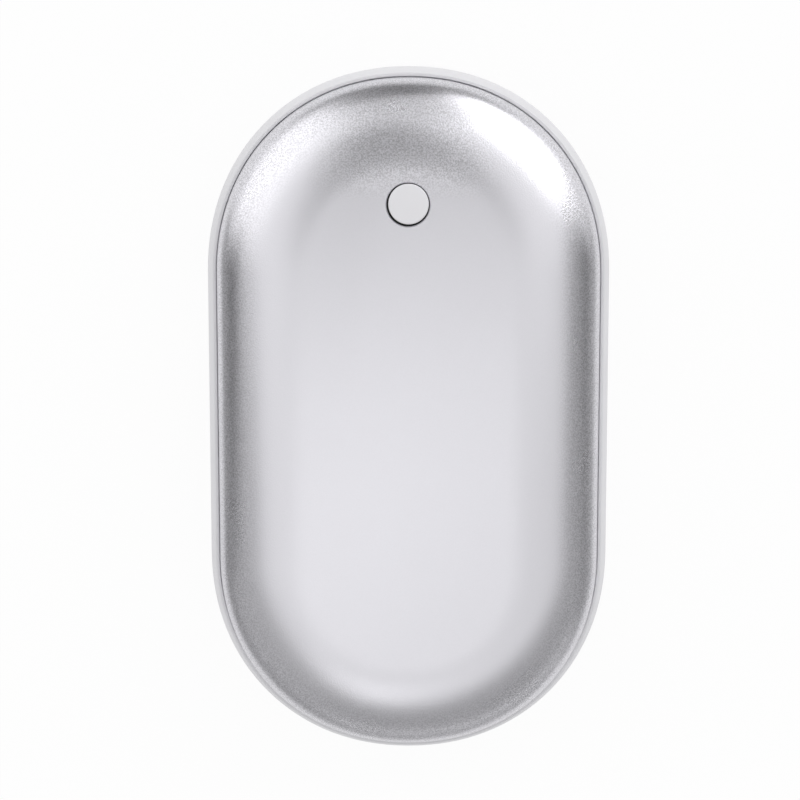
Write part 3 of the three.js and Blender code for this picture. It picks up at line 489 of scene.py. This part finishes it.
# Sockets with their springs and contacts, and the light pipe
MOUTH_ROUND = 0.08 * MM
LEAF_X = 3 * MM  # from the large socket's middle to its springs' middles
LEAF_WINDOW = 2.2 * MM
LEAF_WIDTH = 1.6 * MM
LEAF_LENGTH = 4 * MM
LEAF_ROOT = 0.8 * MM
LEAF_SLIT = 0.3 * MM
LEAF_DIP = 0.18 * MM
LEAF_SWEEP = 0.75 * math.pi  # the part of a wave that a spring's bend follows
TONGUE_SIDE = 0.7 * MM
TONGUE_HEIGHT = 1.6 * MM
TONGUE_EDGE = 0.12 * MM
OUT_STOCK = 3.2 * MM
OUT_CONTACTS = 4
CONTACT_THICKNESS = 0.2 * MM
BEND_STEPS = 16
IN_TONGUE_WIDTH = 3.7 * MM
IN_TONGUE_HEIGHT = 0.6 * MM
IN_TONGUE_SETBACK = 0.7 * MM
IN_STOCK = 1.4 * MM
IN_CONTACTS = 5
IN_CONTACT_PITCH = 0.65 * MM
IN_CONTACT_WIDTH = 0.36 * MM
IN_CONTACT_THICKNESS = 0.08 * MM
PIPE_BAR_DEPTH = 1 * MM
PIPE_BAR_HEIGHT = 1.2 * MM
PIPE_RECESS = 0.2 * MM


def round_mouth(piece, y):
    """Rounds the edges of a mouth in the plane y, and leaves its flat face alone."""
    edit(piece)
    pick_corners(piece, "y", [y])
    bpy.ops.mesh.bevel(offset=MOUTH_ROUND, segments=3, affect="EDGES")
    leave()


def strip(name, x, width, thickness, path):
    """A bent strip whose underside follows (y, z) points, the first two at one height."""
    (y, z), (y_next, _) = path[:2]
    piece = block(name, (x - width / 2, y_next, z), (x + width / 2, y, z + thickness))
    edit(piece)
    pick(piece, "faces", lambda face: face.normal.y < 0
        and all(abs(v.co.y - y_next) < NEAR for v in face.verts))
    for now, then in zip(path[1:], path[2:]):
        bpy.ops.mesh.extrude_region_move(
            TRANSFORM_OT_translate={"value": (0, then[0] - now[0], then[1] - now[1])})
    leave()
    return piece


def leaf_spring(x, root, underside, inwards):
    """A spring in its window: rooted in the sheet, dipped inwards, its tip bent back out."""
    path = [(root + SHEET / 2, underside), (root - LEAF_ROOT, underside)]
    length = LEAF_LENGTH - LEAF_SLIT - LEAF_ROOT
    for step in range(1, BEND_STEPS + 1):
        share = step / BEND_STEPS
        dip = LEAF_DIP * math.sin(LEAF_SWEEP * share)
        path.append((root - LEAF_ROOT - length * share, underside + inwards * dip))
    return strip("leaf_spring", x, LEAF_WIDTH, SHEET, path)


def make_out_socket():
    can = socket_prism("usb_out_shell_fine", (0, 0), out_low.y, out_high.y, OUT_CORNER)
    cut_with(can, socket_prism("inside", (-SHEET, -SHEET), out_low.y - OVERRUN,
        out_high.y - SHEET, OUT_CORNER - SHEET))
    round_mouth(can, out_low.y)
    tongue_low, tongue_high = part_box("usb_out_tongue")
    middle = (out_low.x + out_high.x) / 2
    tip, root = tongue_low.y, tongue_low.y + LEAF_LENGTH
    for side in (-1, 1):
        x = middle + side * LEAF_X
        cut_with(can, block("window", (x - LEAF_WINDOW / 2, tip, out_low.z - OVERRUN),
            (x + LEAF_WINDOW / 2, root, out_high.z + OVERRUN)))
        cut_with(can, leaf_spring(x, root, out_high.z - SHEET, -1), "UNION")
        cut_with(can, leaf_spring(x, root, out_low.z, 1), "UNION")
    smooth(can)
    done(can, "housing", "socket_metal", "usb_out_shell")

    half = (out_high.x - out_low.x) / 2 - SHEET - TONGUE_SIDE
    tongue = block("usb_out_tongue_fine", (middle - half, tip, tongue_high.z - TONGUE_HEIGHT),
        (middle + half, tongue_high.y - OUT_STOCK / 2, tongue_high.z), TONGUE_EDGE)
    stock = block("stock", (tongue_low.x, tongue_high.y - OUT_STOCK, tongue_low.z), tongue_high,
        TONGUE_EDGE)
    cut_with(tongue, stock, "UNION")
    smooth(tongue)
    done(tongue, "housing", "socket_plastic", "usb_out_tongue")


def make_contacts():
    """The first contact spring is bent, and the others are copies of it."""
    low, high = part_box("usb_out_contact_1")
    top = high.z - CONTACT_THICKNESS
    third = (high.y - low.y) / 3
    path = [(high.y, top), (high.y - third, top)]
    for step in range(1, BEND_STEPS + 1):
        share = step / BEND_STEPS
        bow = (top - low.z) * math.sin(math.pi * share) ** 2
        path.append((high.y - third - 2 * third * share, top - bow))
    first = strip("usb_out_contact_fine_1", (low.x + high.x) / 2, high.x - low.x,
        CONTACT_THICKNESS, path)
    smooth(first)
    pieces = [first]
    for number in range(2, OUT_CONTACTS + 1):
        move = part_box(f"usb_out_contact_{number}")[0] - low
        pieces.append(copied(first, f"usb_out_contact_fine_{number}", move))
    for number, piece in enumerate(pieces, 1):
        done(piece, "housing", "contact_gold", f"usb_out_contact_{number}")


def make_in_socket():
    can = charge_prism("usb_in_shell_fine", 0, in_low.y, in_high.y)
    cut_with(can, charge_prism("inside", -SHEET, in_low.y - OVERRUN, in_high.y - SHEET))
    round_mouth(can, in_low.y)
    smooth(can)
    done(can, "housing", "socket_metal", "usb_in_shell")

    tongue_low, tongue_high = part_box("usb_in_tongue")
    middle = (in_low.x + in_high.x) / 2
    tip = in_low.y + IN_TONGUE_SETBACK
    underside = tongue_high.z - IN_TONGUE_HEIGHT
    blade = block("usb_in_tongue_fine", (middle - IN_TONGUE_WIDTH / 2, tip, underside),
        (middle + IN_TONGUE_WIDTH / 2, tongue_high.y - IN_STOCK / 2, tongue_high.z), MOUTH_ROUND)
    stock = block("stock", (tongue_low.x, tongue_high.y - IN_STOCK, tongue_low.z), tongue_high,
        MOUTH_ROUND)
    cut_with(blade, stock, "UNION")
    smooth(blade)
    done(blade, "housing", "switch_plastic", "usb_in_tongue")

    x = middle - (IN_CONTACTS - 1) / 2 * IN_CONTACT_PITCH
    first = block("usb_in_contact_fine_1",
        (x - IN_CONTACT_WIDTH / 2, tip + 2 * MOUTH_ROUND, underside - IN_CONTACT_THICKNESS),
        (x + IN_CONTACT_WIDTH / 2, tongue_high.y - IN_STOCK, underside), MOUTH_ROUND / 4)
    smooth(first)
    pieces = [first]
    for number in range(2, IN_CONTACTS + 1):
        move = ((number - 1) * IN_CONTACT_PITCH, 0, 0)
        pieces.append(copied(first, f"usb_in_contact_fine_{number}", move))
    for piece in pieces:
        done(piece, "housing", "contact_gold")


def reach(x):
    """How far the widest line reaches along the body at this place across it."""
    across = (abs(x) / HALF_WIDTH) ** END_POWER
    return HALF_LENGTH - END_ROUND + END_ROUND * (1 - across) ** (1 / END_POWER)


def make_light_pipe():
    """A bar behind the band with one round-tipped rod to each hole."""
    bar_low = pipe_high.z - PIPE_BAR_HEIGHT
    pipe = block("light_pipe_fine", (pipe_low.x, pipe_high.y - PIPE_BAR_DEPTH, bar_low),
        pipe_high, MOUTH_ROUND)
    root = pipe_high.y - PIPE_BAR_DEPTH / 2
    for x in lamp_places():
        tip = PIPE_RECESS - reach(abs(x) + PIPE_RADIUS)
        rod = add(bpy.ops.mesh.primitive_cylinder_add, "rod", vertices=ROD_SIDES,
            radius=PIPE_RADIUS, depth=root - tip, location=(x, (root + tip) / 2, PIPE_Z),
            rotation=(math.pi / 2, 0, 0))
        edit(rod)
        pick(rod, "edges", lambda edge: all(v.co.y < tip + NEAR for v in edge.verts))
        bpy.ops.mesh.bevel(offset=PIPE_RADIUS / 2, segments=5, affect="EDGES")
        leave()
        cut_with(pipe, rod, "UNION")
    smooth(pipe)
    done(pipe, "housing", "clear_plastic", "light_pipe")


# Button
def cap_edge():
    """The last points of the cap's profile: the rounded edge of its face."""
    points = []
    for step in range(CAP_STEPS + 1):
        angle = math.pi / 2 * step / CAP_STEPS
        points.append((CAP_RADIUS - CAP_ROUND * (1 - math.cos(angle)),
            cap_high.z - CAP_ROUND * (1 - math.sin(angle))))
    return points


def make_button():
    """The cap, its flange under the shell and the stem that presses the switch."""
    flange_top = BODY_HEIGHT - SHELL_WALL - FLANGE_GAP
    flange_low = flange_top - FLANGE_THICKNESS
    flange_radius = (cap_high.x - cap_low.x) / 2
    cap = turned("button_cap_fine", 0, BUTTON_Y, [
        (STEM_RADIUS, cap_low.z),
        (STEM_RADIUS, flange_low),
        (flange_radius, flange_low),
        (flange_radius, flange_top),
        (CAP_RADIUS, flange_top),
        *cap_edge(),
    ])
    smooth(cap)
    done(cap, "button", "button_plastic", "button_cap")


make_shells()
make_band()
make_button()
make_out_socket()
make_contacts()
make_in_socket()
make_light_pipe()


# Finishes
class Number:
    """What a node gives out, mostly a number that varies over a surface: sums on it add Math nodes."""

    def __init__(self, nodes, socket):
        self.nodes = nodes
        self.socket = socket

    def math(self, operation, *others):
        return self.nodes.math(operation, self, *others)

    def __add__(self, other):
        return self.math("ADD", other)

    def __mul__(self, other):
        return self.math("MULTIPLY", other)

    def __sub__(self, other):
        return self.math("SUBTRACT", other)

    def __rsub__(self, other):
        return self.nodes.math("SUBTRACT", other, self)

    def __truediv__(self, other):
        return self.math("DIVIDE", other)

    def __gt__(self, other):
        return self.math("GREATER_THAN", other)

    def __lt__(self, other):
        return self.math("LESS_THAN", other)

    def __abs__(self):
        return self.math("ABSOLUTE")

    def rise(self, low, high):
        """0 below low and 1 above high, with a straight rise between them."""
        values = {"Value": self, "From Min": low, "From Max": high}
        return self.nodes.node("MapRange", {"clamp": True}, values)

    __radd__ = __add__
    __rmul__ = __mul__


class Nodes:
    """The shader nodes of a material or of the world."""

    def __init__(self, owner):
        owner.use_nodes = True
        self.tree = owner.node_tree

    def node(self, kind, settings=None, values=None, output=0):
        """Any node: its settings first, then the values or links of its sockets."""
        node = self.tree.nodes.new("ShaderNode" + kind)
        for key, value in (settings or {}).items():
            setattr(node, key, value)
        for key, value in (values or {}).items():
            self.feed(node.inputs[key], value)
        return Number(self, node.outputs[output])

    def math(self, operation, *values):
        """A Math node on plain values and on what nodes give out."""
        return self.node("Math", {"operation": operation}, dict(enumerate(values)))

    def feed(self, socket, value):
        """Links what a node gives out to a socket, or sets the socket to a plain value."""
        if isinstance(value, Number):
            self.tree.links.new(value.socket, socket)
        else:
            socket.default_value = value


class Finish(Nodes):
    """One material of the object: a surface shader with its constants, and what varies it."""

    def __init__(self, name, colour, roughness, metallic=0.0, **constants):
        self.material = bpy.data.materials.new(name)
        super().__init__(self.material)
        self.shader = self.tree.nodes["Principled BSDF"]
        self.colour = colour
        constants.update(Base_Color=(*colour, 1), Roughness=roughness, Metallic=metallic)
        for socket, value in constants.items():
            self.shader.inputs[socket.replace("_", " ")].default_value = value

    def place(self):
        return self.node("TexCoord", output="Object")

    def axis(self, letter):
        return self.node("SeparateXYZ", values={0: self.place()}, output=letter)

    def noise(self, size, detail=2.0, roughness=0.5, place=None):
        """Noise whose spots are about this size."""
        values = {"Vector": place or self.place(), "Scale": 1 / size, "Detail": detail,
            "Roughness": roughness}
        return self.node("TexNoise", values=values, output="Fac")

    def blend(self, share, first, second):
        """A colour between two by share."""
        values = {0: share, 6: first, 7: second}
        return self.node("Mix", {"data_type": "RGBA"}, values, output=2)

    def shade(self, share, low=0.9, high=1.06):
        """The finish's own colour, darker where share is 0 and lighter where it is 1."""
        dark = tuple(part * low for part in self.colour) + (1,)
        light = tuple(min(part * high, 1) for part in self.colour) + (1,)
        return self.blend(share, dark, light)

    def colour_by(self, value):
        self.feed(self.shader.inputs["Base Color"], value)

    def roughness_by(self, value):
        self.feed(self.shader.inputs["Roughness"], value)

    def raise_by(self, height, depth):
        """Bumps of this depth, from a height between 0 and 1. Ends a finish and returns it."""
        values = {"Height": height, "Strength": 1.0, "Distance": depth}
        bump = self.node("Bump", values=values, output="Normal")
        self.feed(self.shader.inputs["Normal"], bump)
        return self


# The blasted shell: where its grain changes, as shares of half its width and as lengths
STEEP_SHARES = (0.6, 0.8)
SIDE_SHARES = (0.72, 0.86)
PAST_BUTTON = (0.5 * MM, 5 * MM)
MIDDLE_STRIP = (8 * MM, 16 * MM)


def blasted_aluminium():
    """Bead-blasted and clear-anodised aluminium: a fine random grain that scatters what it mirrors,
    finest on the flat, and more speckled on the steep shoulder and past the button."""
    finish = Finish("blasted_aluminium", (0.742, 0.735, 0.773), 0.3, 1.0)
    across = abs(finish.axis("X"))
    along = (abs(finish.axis("Y")) - (HALF_LENGTH - END_ROUND)).math("MAXIMUM", 0)
    out = (across * across + along * along).math("SQRT") / HALF_WIDTH
    slope = out.rise(*STEEP_SHARES)
    side = out.rise(*SIDE_SHARES)
    past_button = finish.axis("Y").rise(BUTTON_Y + PAST_BUTTON[0], BUTTON_Y + PAST_BUTTON[1])
    middle = 1 - across.rise(*MIDDLE_STRIP)
    speckled = side.math("MAXIMUM", past_button * middle)
    grain = finish.noise(size=0.2 * MM, detail=1.0)
    speckle = finish.noise(size=0.24 * MM, detail=1.0).rise(0.35, 0.65) - 0.5
    cloud = finish.noise(size=9 * MM, detail=1.0)
    finish.roughness_by(0.295 - 0.025 * slope + 0.01 * cloud)
    finish.colour_by(finish.shade(0.5 + speckle * (0.03 + 0.97 * speckled), 0.8, 1.2))
    return finish.raise_by(grain * (0.3 + 0.7 * slope), depth=0.028 * MM)


SPARK_GRAIN = 0.12 * MM  # the spark-eroded texture of a moulding tool
SPARK_DEPTH = 0.004 * MM


def moulded(name, colour, roughness, depth=SPARK_DEPTH):
    """Moulded plastic with the fine spark-eroded texture of its tool."""
    finish = Finish(name, colour, roughness)
    grain = finish.noise(SPARK_GRAIN)
    cloud = finish.noise(size=6 * MM)
    finish.roughness_by(roughness - 0.04 + 0.08 * grain)
    finish.colour_by(finish.shade(cloud, 0.985, 1.015))
    return finish.raise_by(grain, depth)


GAP_SHADE_DEPTH = 0.55 * MM  # how far down its side the cap keeps its own colour, above the painted shade
GAP_SHADE_RAGGED = 0.05 * MM  # how uneven the edge of the painted shade is
# near-black painted shade on the flange and stem, for the gap round the cap
GAP_SHADE_BLACK = (0.012, 0.012, 0.013, 1)


def button_gap_shade():
    """The button: a pale cap like the shell, and near-black painted shade on its flange and stem,
    which darkens the gap round the cap.
    """
    finish = Finish("button_gap_shade", (0.79, 0.785, 0.81), 0.4)
    grain = finish.noise(SPARK_GRAIN)
    gap_shade_edge = cap_high.z - GAP_SHADE_DEPTH + GAP_SHADE_RAGGED * finish.noise(size=0.4 * MM)
    # Below this ragged edge the colour is near-black painted shade, which darkens the gap round the
    # cap.
    painted_gap_shade = finish.axis("Z") < gap_shade_edge
    finish.colour_by(finish.blend(painted_gap_shade, finish.shade(grain, 0.985, 1.015), GAP_SHADE_BLACK))
    finish.roughness_by(0.36 + 0.08 * grain)
    return finish.raise_by(grain, SPARK_DEPTH)


def plated(name, colour, roughness, size=0.3 * MM):
    """Rolled and plated metal: fine lines along the sheet."""
    finish = Finish(name, colour, roughness, 1.0)
    stretched = finish.node("Mapping", values={0: finish.place(), "Scale": (1, 0.06, 1)})
    lines = finish.noise(size, detail=3.0, roughness=0.6, place=stretched)
    finish.roughness_by(roughness - 0.06 + 0.12 * lines)
    finish.colour_by(finish.shade(lines, 0.94, 1.04))
    return finish.raise_by(lines, depth=0.002 * MM)


TRACK_PITCH = 2.4 * MM
TRACK_GREEN = (0.08, 0.34, 0.17, 1)


def printed_board():
    """Glass-fibre board under green resist, which is lighter and stands out over its tracks."""
    finish = Finish("printed_board", (0.03, 0.2, 0.1), 0.32, Coat_Weight=0.4)
    values = {"Vector": finish.place(), "Scale": 1 / TRACK_PITCH, "Color1": WHITE,
        "Color2": WHITE, "Mortar": (0, 0, 0, 1), "Mortar Size": 0.09, "Brick Width": 0.9,
        "Row Height": 0.35}
    track = finish.node("TexBrick", values=values, output="Fac")
    weave = finish.noise(size=0.25 * MM)
    finish.colour_by(finish.blend(track, finish.shade(weave, 0.9, 1.1), TRACK_GREEN))
    return finish.raise_by(track + 0.2 * weave, depth=0.02 * MM)


FOIL_PITCH = 1.8 * MM
FOIL_METAL = (0.5, 0.46, 0.38, 1)
WAVE_PITCH = 0.3142  # of a wave texture whose scale is 1


def etched_film():
    """Heater film: a meander of etched foil seen through amber film."""
    finish = Finish("etched_film", (0.62, 0.3, 0.06), 0.3)
    settings = {"wave_type": "BANDS", "bands_direction": "X", "wave_profile": "SIN"}
    values = {"Vector": finish.place(), "Scale": WAVE_PITCH / FOIL_PITCH}
    foil = finish.node("TexWave", settings, values, output="Fac") > 0.45
    cloud = finish.noise(size=1.5 * MM)
    finish.colour_by(finish.blend(foil, finish.shade(cloud), FOIL_METAL))
    finish.roughness_by(0.3 + 0.1 * cloud)
    return finish.raise_by(foil, depth=0.01 * MM)


def foam():
    """Open-pored foam, its colour darker down in each pore as painted shade."""
    finish = Finish("foam", (0.11, 0.115, 0.12), 0.95)
    pore = 0.5 * MM
    values = {"Vector": finish.place(), "Scale": 1 / pore, "Smoothness": 0.4}
    pores = finish.node("TexVoronoi", {"feature": "SMOOTH_F1"}, values, output="Distance")
    # Darker down in each pore and lighter on the walls between: painted shade that follows the bump's
    # pits.
    finish.colour_by(finish.shade(pores, 0.6, 1.3))
    return finish.raise_by(pores, depth=0.12 * MM)


BARE_STEEL = (0.62, 0.61, 0.59, 1)
SLEEVE_EDGE = 1.35 * MM  # how far short of the cell's raised end its sleeve stops
SLEEVE_FOOT = 0.0675 * MM  # the same at its flat end


def sleeved_cell():
    """A cell: a shrunk sleeve on its barrel, and bare steel past the sleeve's edges."""
    finish = Finish("sleeved_cell", (0.03, 0.16, 0.34), 0.3)
    low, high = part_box("cell_left")
    along = finish.axis("Y")
    end = (along > high.y - SLEEVE_EDGE) + (along < low.y + SLEEVE_FOOT)
    cloud = finish.noise(size=4 * MM)
    finish.colour_by(finish.blend(end, finish.shade(cloud, 0.9, 1.1), BARE_STEEL))
    finish.roughness_by(0.3 + 0.08 * cloud)
    finish.feed(finish.shader.inputs["Metallic"], end)
    return finish.raise_by(cloud, depth=0.01 * MM)


def insulation(name, colour):
    """Soft extruded insulation, slightly dull, with marks of handling."""
    finish = Finish(name, colour, 0.5)
    marks = finish.noise(size=0.9 * MM, detail=3.0, roughness=0.6)
    finish.colour_by(finish.shade(marks, 0.92, 1.05))
    finish.roughness_by(0.42 + 0.14 * marks)
    return finish.raise_by(marks, depth=0.01 * MM)


def pressed(name, colour, roughness, size, depth):
    """Pressed or fired powder: a granular body."""
    finish = Finish(name, colour, roughness)
    grains = finish.noise(size, detail=4.0, roughness=0.7)
    finish.colour_by(finish.shade(grains, 0.8, 1.2))
    finish.roughness_by(roughness - 0.08 + 0.16 * grains)
    return finish.raise_by(grains, depth)


def clear_plastic():
    """Clear plastic, slightly frosted."""
    finish = Finish("clear_plastic", (0.93, 0.95, 0.96), 0.12, Transmission_Weight=0.85, IOR=1.49)
    frost = finish.noise(size=0.3 * MM)
    finish.roughness_by(0.12 + 0.12 * frost)
    return finish.raise_by(frost, depth=0.003 * MM)


def chip_lamp():
    """A chip lamp: a yellowish phosphor patch on a pale body."""
    finish = Finish("chip_lamp", (0.8, 0.79, 0.74), 0.35)
    grain = finish.noise(size=0.2 * MM)
    finish.colour_by(finish.blend(grain, (0.85, 0.74, 0.3, 1), (0.8, 0.78, 0.68, 1)))
    return finish.raise_by(grain, depth=0.004 * MM)


# Each slot's finish
FINISHES = {
    "shell_aluminium": blasted_aluminium(),
    "band_plastic": moulded("band_plastic", (0.745, 0.742, 0.765), 0.42),
    "button_plastic": button_gap_shade(),
    "liner_plastic": moulded("liner_plastic", (0.04, 0.04, 0.043), 0.5),
    "tray_plastic": moulded("tray_plastic", (0.022, 0.022, 0.024), 0.55),
    "switch_plastic": moulded("switch_plastic", (0.014, 0.014, 0.016), 0.45),
    "socket_plastic": moulded("socket_plastic", (0.78, 0.78, 0.74), 0.45),
    "socket_metal": plated("socket_metal", (0.7, 0.7, 0.71), 0.28),
    "board": printed_board(),
    "screw_steel": plated("screw_steel", (0.6, 0.61, 0.63), 0.32),
    "clear_plastic": clear_plastic(),
    "led": chip_lamp(),
    "ferrite": pressed("ferrite", (0.04, 0.04, 0.043), 0.7, 0.15 * MM, 0.02 * MM),
    "chip_epoxy": moulded("chip_epoxy", (0.015, 0.015, 0.017), 0.55, 2 * SPARK_DEPTH),
    "capacitor_can": plated("capacitor_can", (0.74, 0.74, 0.75), 0.25),
    "capacitor_ceramic": pressed("capacitor_ceramic", (0.4, 0.26, 0.13), 0.5, 0.1 * MM, 0.008 * MM),
    "cell": sleeved_cell(),
    "contact_gold": plated("contact_gold", (0.78, 0.57, 0.24), 0.22, 0.15 * MM),
    "nickel": plated("nickel", (0.68, 0.66, 0.6), 0.26),
    "heater_film": etched_film(),
    "foam": foam(),
    "lead_white": insulation("lead_white", (0.78, 0.78, 0.75)),
    "lead_red": insulation("lead_red", (0.46, 0.02, 0.015)),
    "lead_black": insulation("lead_black", (0.015, 0.015, 0.017)),
}


def dress():
    """Gives every carried node the finish of its slot, and every new piece that of its own."""
    slots = {row["node"]: row["material_slot"] for row in frame["record"]["subparts"]}
    for name, node in frame["nodes"].items():
        node.data.materials.clear()
        node.data.materials.append(FINISHES[slots[name]].material)
    for piece in bpy.context.scene.objects:
        if "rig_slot" in piece:
            piece.data.materials.clear()
            piece.data.materials.append(FINISHES[piece["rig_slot"]].material)


dress()


# Stage: a pale floor, a white surround, soft boxes and dark cards
CAMERA_DISTANCE = 350 * MM
CAMERA_LEAN = math.radians(8.26)
CAMERA_LENS = 96.2
SENSOR_WIDTH = 36
CAMERA_SHIFT = (-0.0107, 0.0156)


def make_camera():
    """Looks down on the face, leaning towards the button's end."""
    lean = Vector((0, math.sin(CAMERA_LEAN), math.cos(CAMERA_LEAN)))
    data = bpy.data.cameras.new("camera")
    data.lens = CAMERA_LENS
    data.sensor_width = SENSOR_WIDTH
    data.shift_x, data.shift_y = CAMERA_SHIFT
    camera = bpy.data.objects.new("camera", data)
    bpy.context.scene.collection.objects.link(camera)
    camera.location = Vector((0, 0, MIDDLE)) + CAMERA_DISTANCE * lean
    camera.rotation_euler = (-CAMERA_LEAN, 0, 0)
    bpy.context.scene.camera = camera


FLOOR_SIZE = 6000 * MM
FLOOR_DROP = 0.05 * MM
FLOOR_GLOW = 0.93  # how much of the floor's white is its own for the camera and through glass
FLOOR_GLOW_IN_GLOSS = 0.25
FLOOR_PAINT = (0.95, 0.95, 0.95, 1)


class Surface(Nodes):
    """A material of the stage, which shows the shader that it is given."""

    def __init__(self, name):
        self.material = bpy.data.materials.new(name)
        super().__init__(self.material)
        self.tree.nodes.remove(self.tree.nodes["Principled BSDF"])

    def show(self, shader):
        self.feed(self.tree.nodes["Material Output"].inputs["Surface"], shader)
        return self.material


def for_rays(nodes, seen, mirrored):
    """One value for rays from the camera and through glass, one in gloss, and 0 for the others."""
    camera = nodes.node("LightPath", output="Is Camera Ray") * seen
    glass = nodes.node("LightPath", output="Is Transmission Ray") * seen
    gloss = nodes.node("LightPath", output="Is Glossy Ray") * mirrored
    return camera.math("MAXIMUM", glass).math("MAXIMUM", gloss)


def make_floor():
    """White to the camera, greyer in gloss, and partly painted, so that it keeps the shadow."""
    floor = add(bpy.ops.mesh.primitive_plane_add, "floor", size=FLOOR_SIZE,
        location=(0, 0, -FLOOR_DROP))
    sheet = Surface("floor")
    share = for_rays(sheet, FLOOR_GLOW, FLOOR_GLOW_IN_GLOSS)
    paint = sheet.node("BsdfDiffuse", values={"Color": FLOOR_PAINT})
    glow = sheet.node("Emission", values={"Strength": 1.0})
    mix = sheet.node("MixShader", values={0: share, 1: paint, 2: glow})
    floor.data.materials.append(sheet.show(mix))


WORLD_LEVEL = 0.78  # as light on the object, which the soft boxes bring up to a plain level


def make_world():
    """White for the camera, gloss and glass; as light on the object a plain grey."""
    world = bpy.data.worlds.new("surround")
    bpy.context.scene.world = world
    nodes = Nodes(world)
    background = nodes.tree.nodes["Background"]
    level = WORLD_LEVEL + (1 - WORLD_LEVEL) * for_rays(nodes, 1, 1)
    nodes.feed(background.inputs["Strength"], level)
    nodes.feed(background.inputs["Color"], WHITE)


# Panels round the object that only gloss sees: a pale one overhead, two soft boxes past the
# button's end, and dark cards between and beside them. Each faces the object; its azimuth and
# elevation are in degrees, its width and height are shares of its distance, and its level comes
# last. They were fitted to the light and shade on the shell.
PANEL_DISTANCE = 2600 * MM
PANEL_STEP = 40 * MM
PANEL_CUTS = 12
PANELS = [
    ("over_panel", 259, 88, 0.20, 2.19, 1.60),
    ("near_over_panel", 287, 70, 2.32, 0.17, 0.72),
    ("camera_card", 99, 73, 0.38, 0.69, 0.20),
    ("left_box", 144, 19, 0.88, 1.43, 1.38),
    ("right_box", 58, 17, 1.07, 1.15, 3.14),
    ("far_panel", 89, 34, 0.72, 0.61, 0.65),
    ("far_card", 93, 3, 0.69, 0.46, 0.10),
    ("right_card", -10, 2, 0.70, 1.58, 0.05),
    ("left_card", 206, 3, 1.24, 0.91, 0.03),
    ("side_card", 193, 5, 0.57, 0.92, 0.03),
    ("near_left_card", 221, 26, 1.20, 1.00, 0.47),
    ("near_right_card", 303, 28, 2.42, 0.85, 0.40),
]
SOFT_BOXES = ("left_box", "right_box")
LAMP_SHARE = 0.3  # of a soft box's level that it sheds as light

# Cards that lie on the floor outside the picture: two opposite corners and a level
CARD_REACH = 2500 * MM
CARD_LIFT = 0.5 * MM
FLOOR_CARDS = [
    ("near_floor_card", (-CARD_REACH, -CARD_REACH), (CARD_REACH, -89 * MM), 0.46),
    ("far_floor_card", (-80 * MM, 99 * MM), (80 * MM, CARD_REACH), 0.17),
    ("left_floor_card", (-CARD_REACH, -CARD_REACH), (-66 * MM, 45 * MM), 0.32),
    ("right_floor_card", (66 * MM, -CARD_REACH), (CARD_REACH, 45 * MM), 0.41),
]


def towards(azimuth, elevation):
    """The direction of a panel and how it is turned to face the object."""
    turn, lift = math.radians(azimuth), math.radians(elevation)
    direction = Vector((math.cos(lift) * math.cos(turn), math.cos(lift) * math.sin(turn),
        math.sin(lift)))
    return direction, direction.to_track_quat("Z", "Y")


def make_card(name, level, place):
    """A card or panel that only gloss sees: a sheet whose points place puts in the room."""
    card = add(bpy.ops.mesh.primitive_grid_add, name, size=1, x_subdivisions=PANEL_CUTS,
        y_subdivisions=PANEL_CUTS)
    for vertex in card.data.vertices:
        vertex.co = place(vertex.co.x, vertex.co.y)
    sheet = Surface(name)
    material = sheet.show(sheet.node("Emission", values={"Strength": level}))
    material.cycles.emission_sampling = "NONE"
    card.data.materials.append(material)
    card.visible_camera = False
    card.visible_diffuse = False
    card.visible_transmission = False
    card.visible_shadow = False


def make_panels():
    """Each panel is bent round the object, so that a nearer one always covers a farther one."""
    centre = Vector((0, 0, MIDDLE))
    for order, (name, azimuth, elevation, width, height, level) in enumerate(PANELS):
        distance = PANEL_DISTANCE - order * PANEL_STEP
        direction, turn = towards(azimuth, elevation)

        def place(across, up):
            spot = turn @ Vector((width * across, height * up, 1))
            return centre + distance * spot.normalized()

        make_card(name, level, place)
        if name in SOFT_BOXES:
            size = (width * distance, height * distance)
            make_lamp(name, centre + direction * distance, turn.to_euler(), size, level)


def make_floor_cards():
    """Each card lies over the one before it."""
    for order, (name, low, high, level) in enumerate(FLOOR_CARDS):

        def place(across, along):
            x = low[0] + (high[0] - low[0]) * (across + 0.5)
            y = low[1] + (high[1] - low[1]) * (along + 0.5)
            return Vector((x, y, CARD_LIFT * (order + 1)))

        make_card(name, level, place)


def make_lamp(name, place, turn, size, level):
    """A soft box as light: a lamp as large as its panel and a share as bright, unseen in gloss."""
    data = bpy.data.lights.new(name, "AREA")
    data.shape = "RECTANGLE"
    data.size, data.size_y = size
    data.energy = LAMP_SHARE * level * math.pi * size[0] * size[1]
    lamp = bpy.data.objects.new(f"{name}_lamp", data)
    bpy.context.scene.collection.objects.link(lamp)
    lamp.location = place
    lamp.rotation_euler = turn
    lamp.visible_camera = False
    lamp.visible_glossy = False


make_camera()
make_floor()
make_world()
make_panels()
make_floor_cards()

scene = bpy.context.scene
scene.view_settings.view_transform = "Standard"
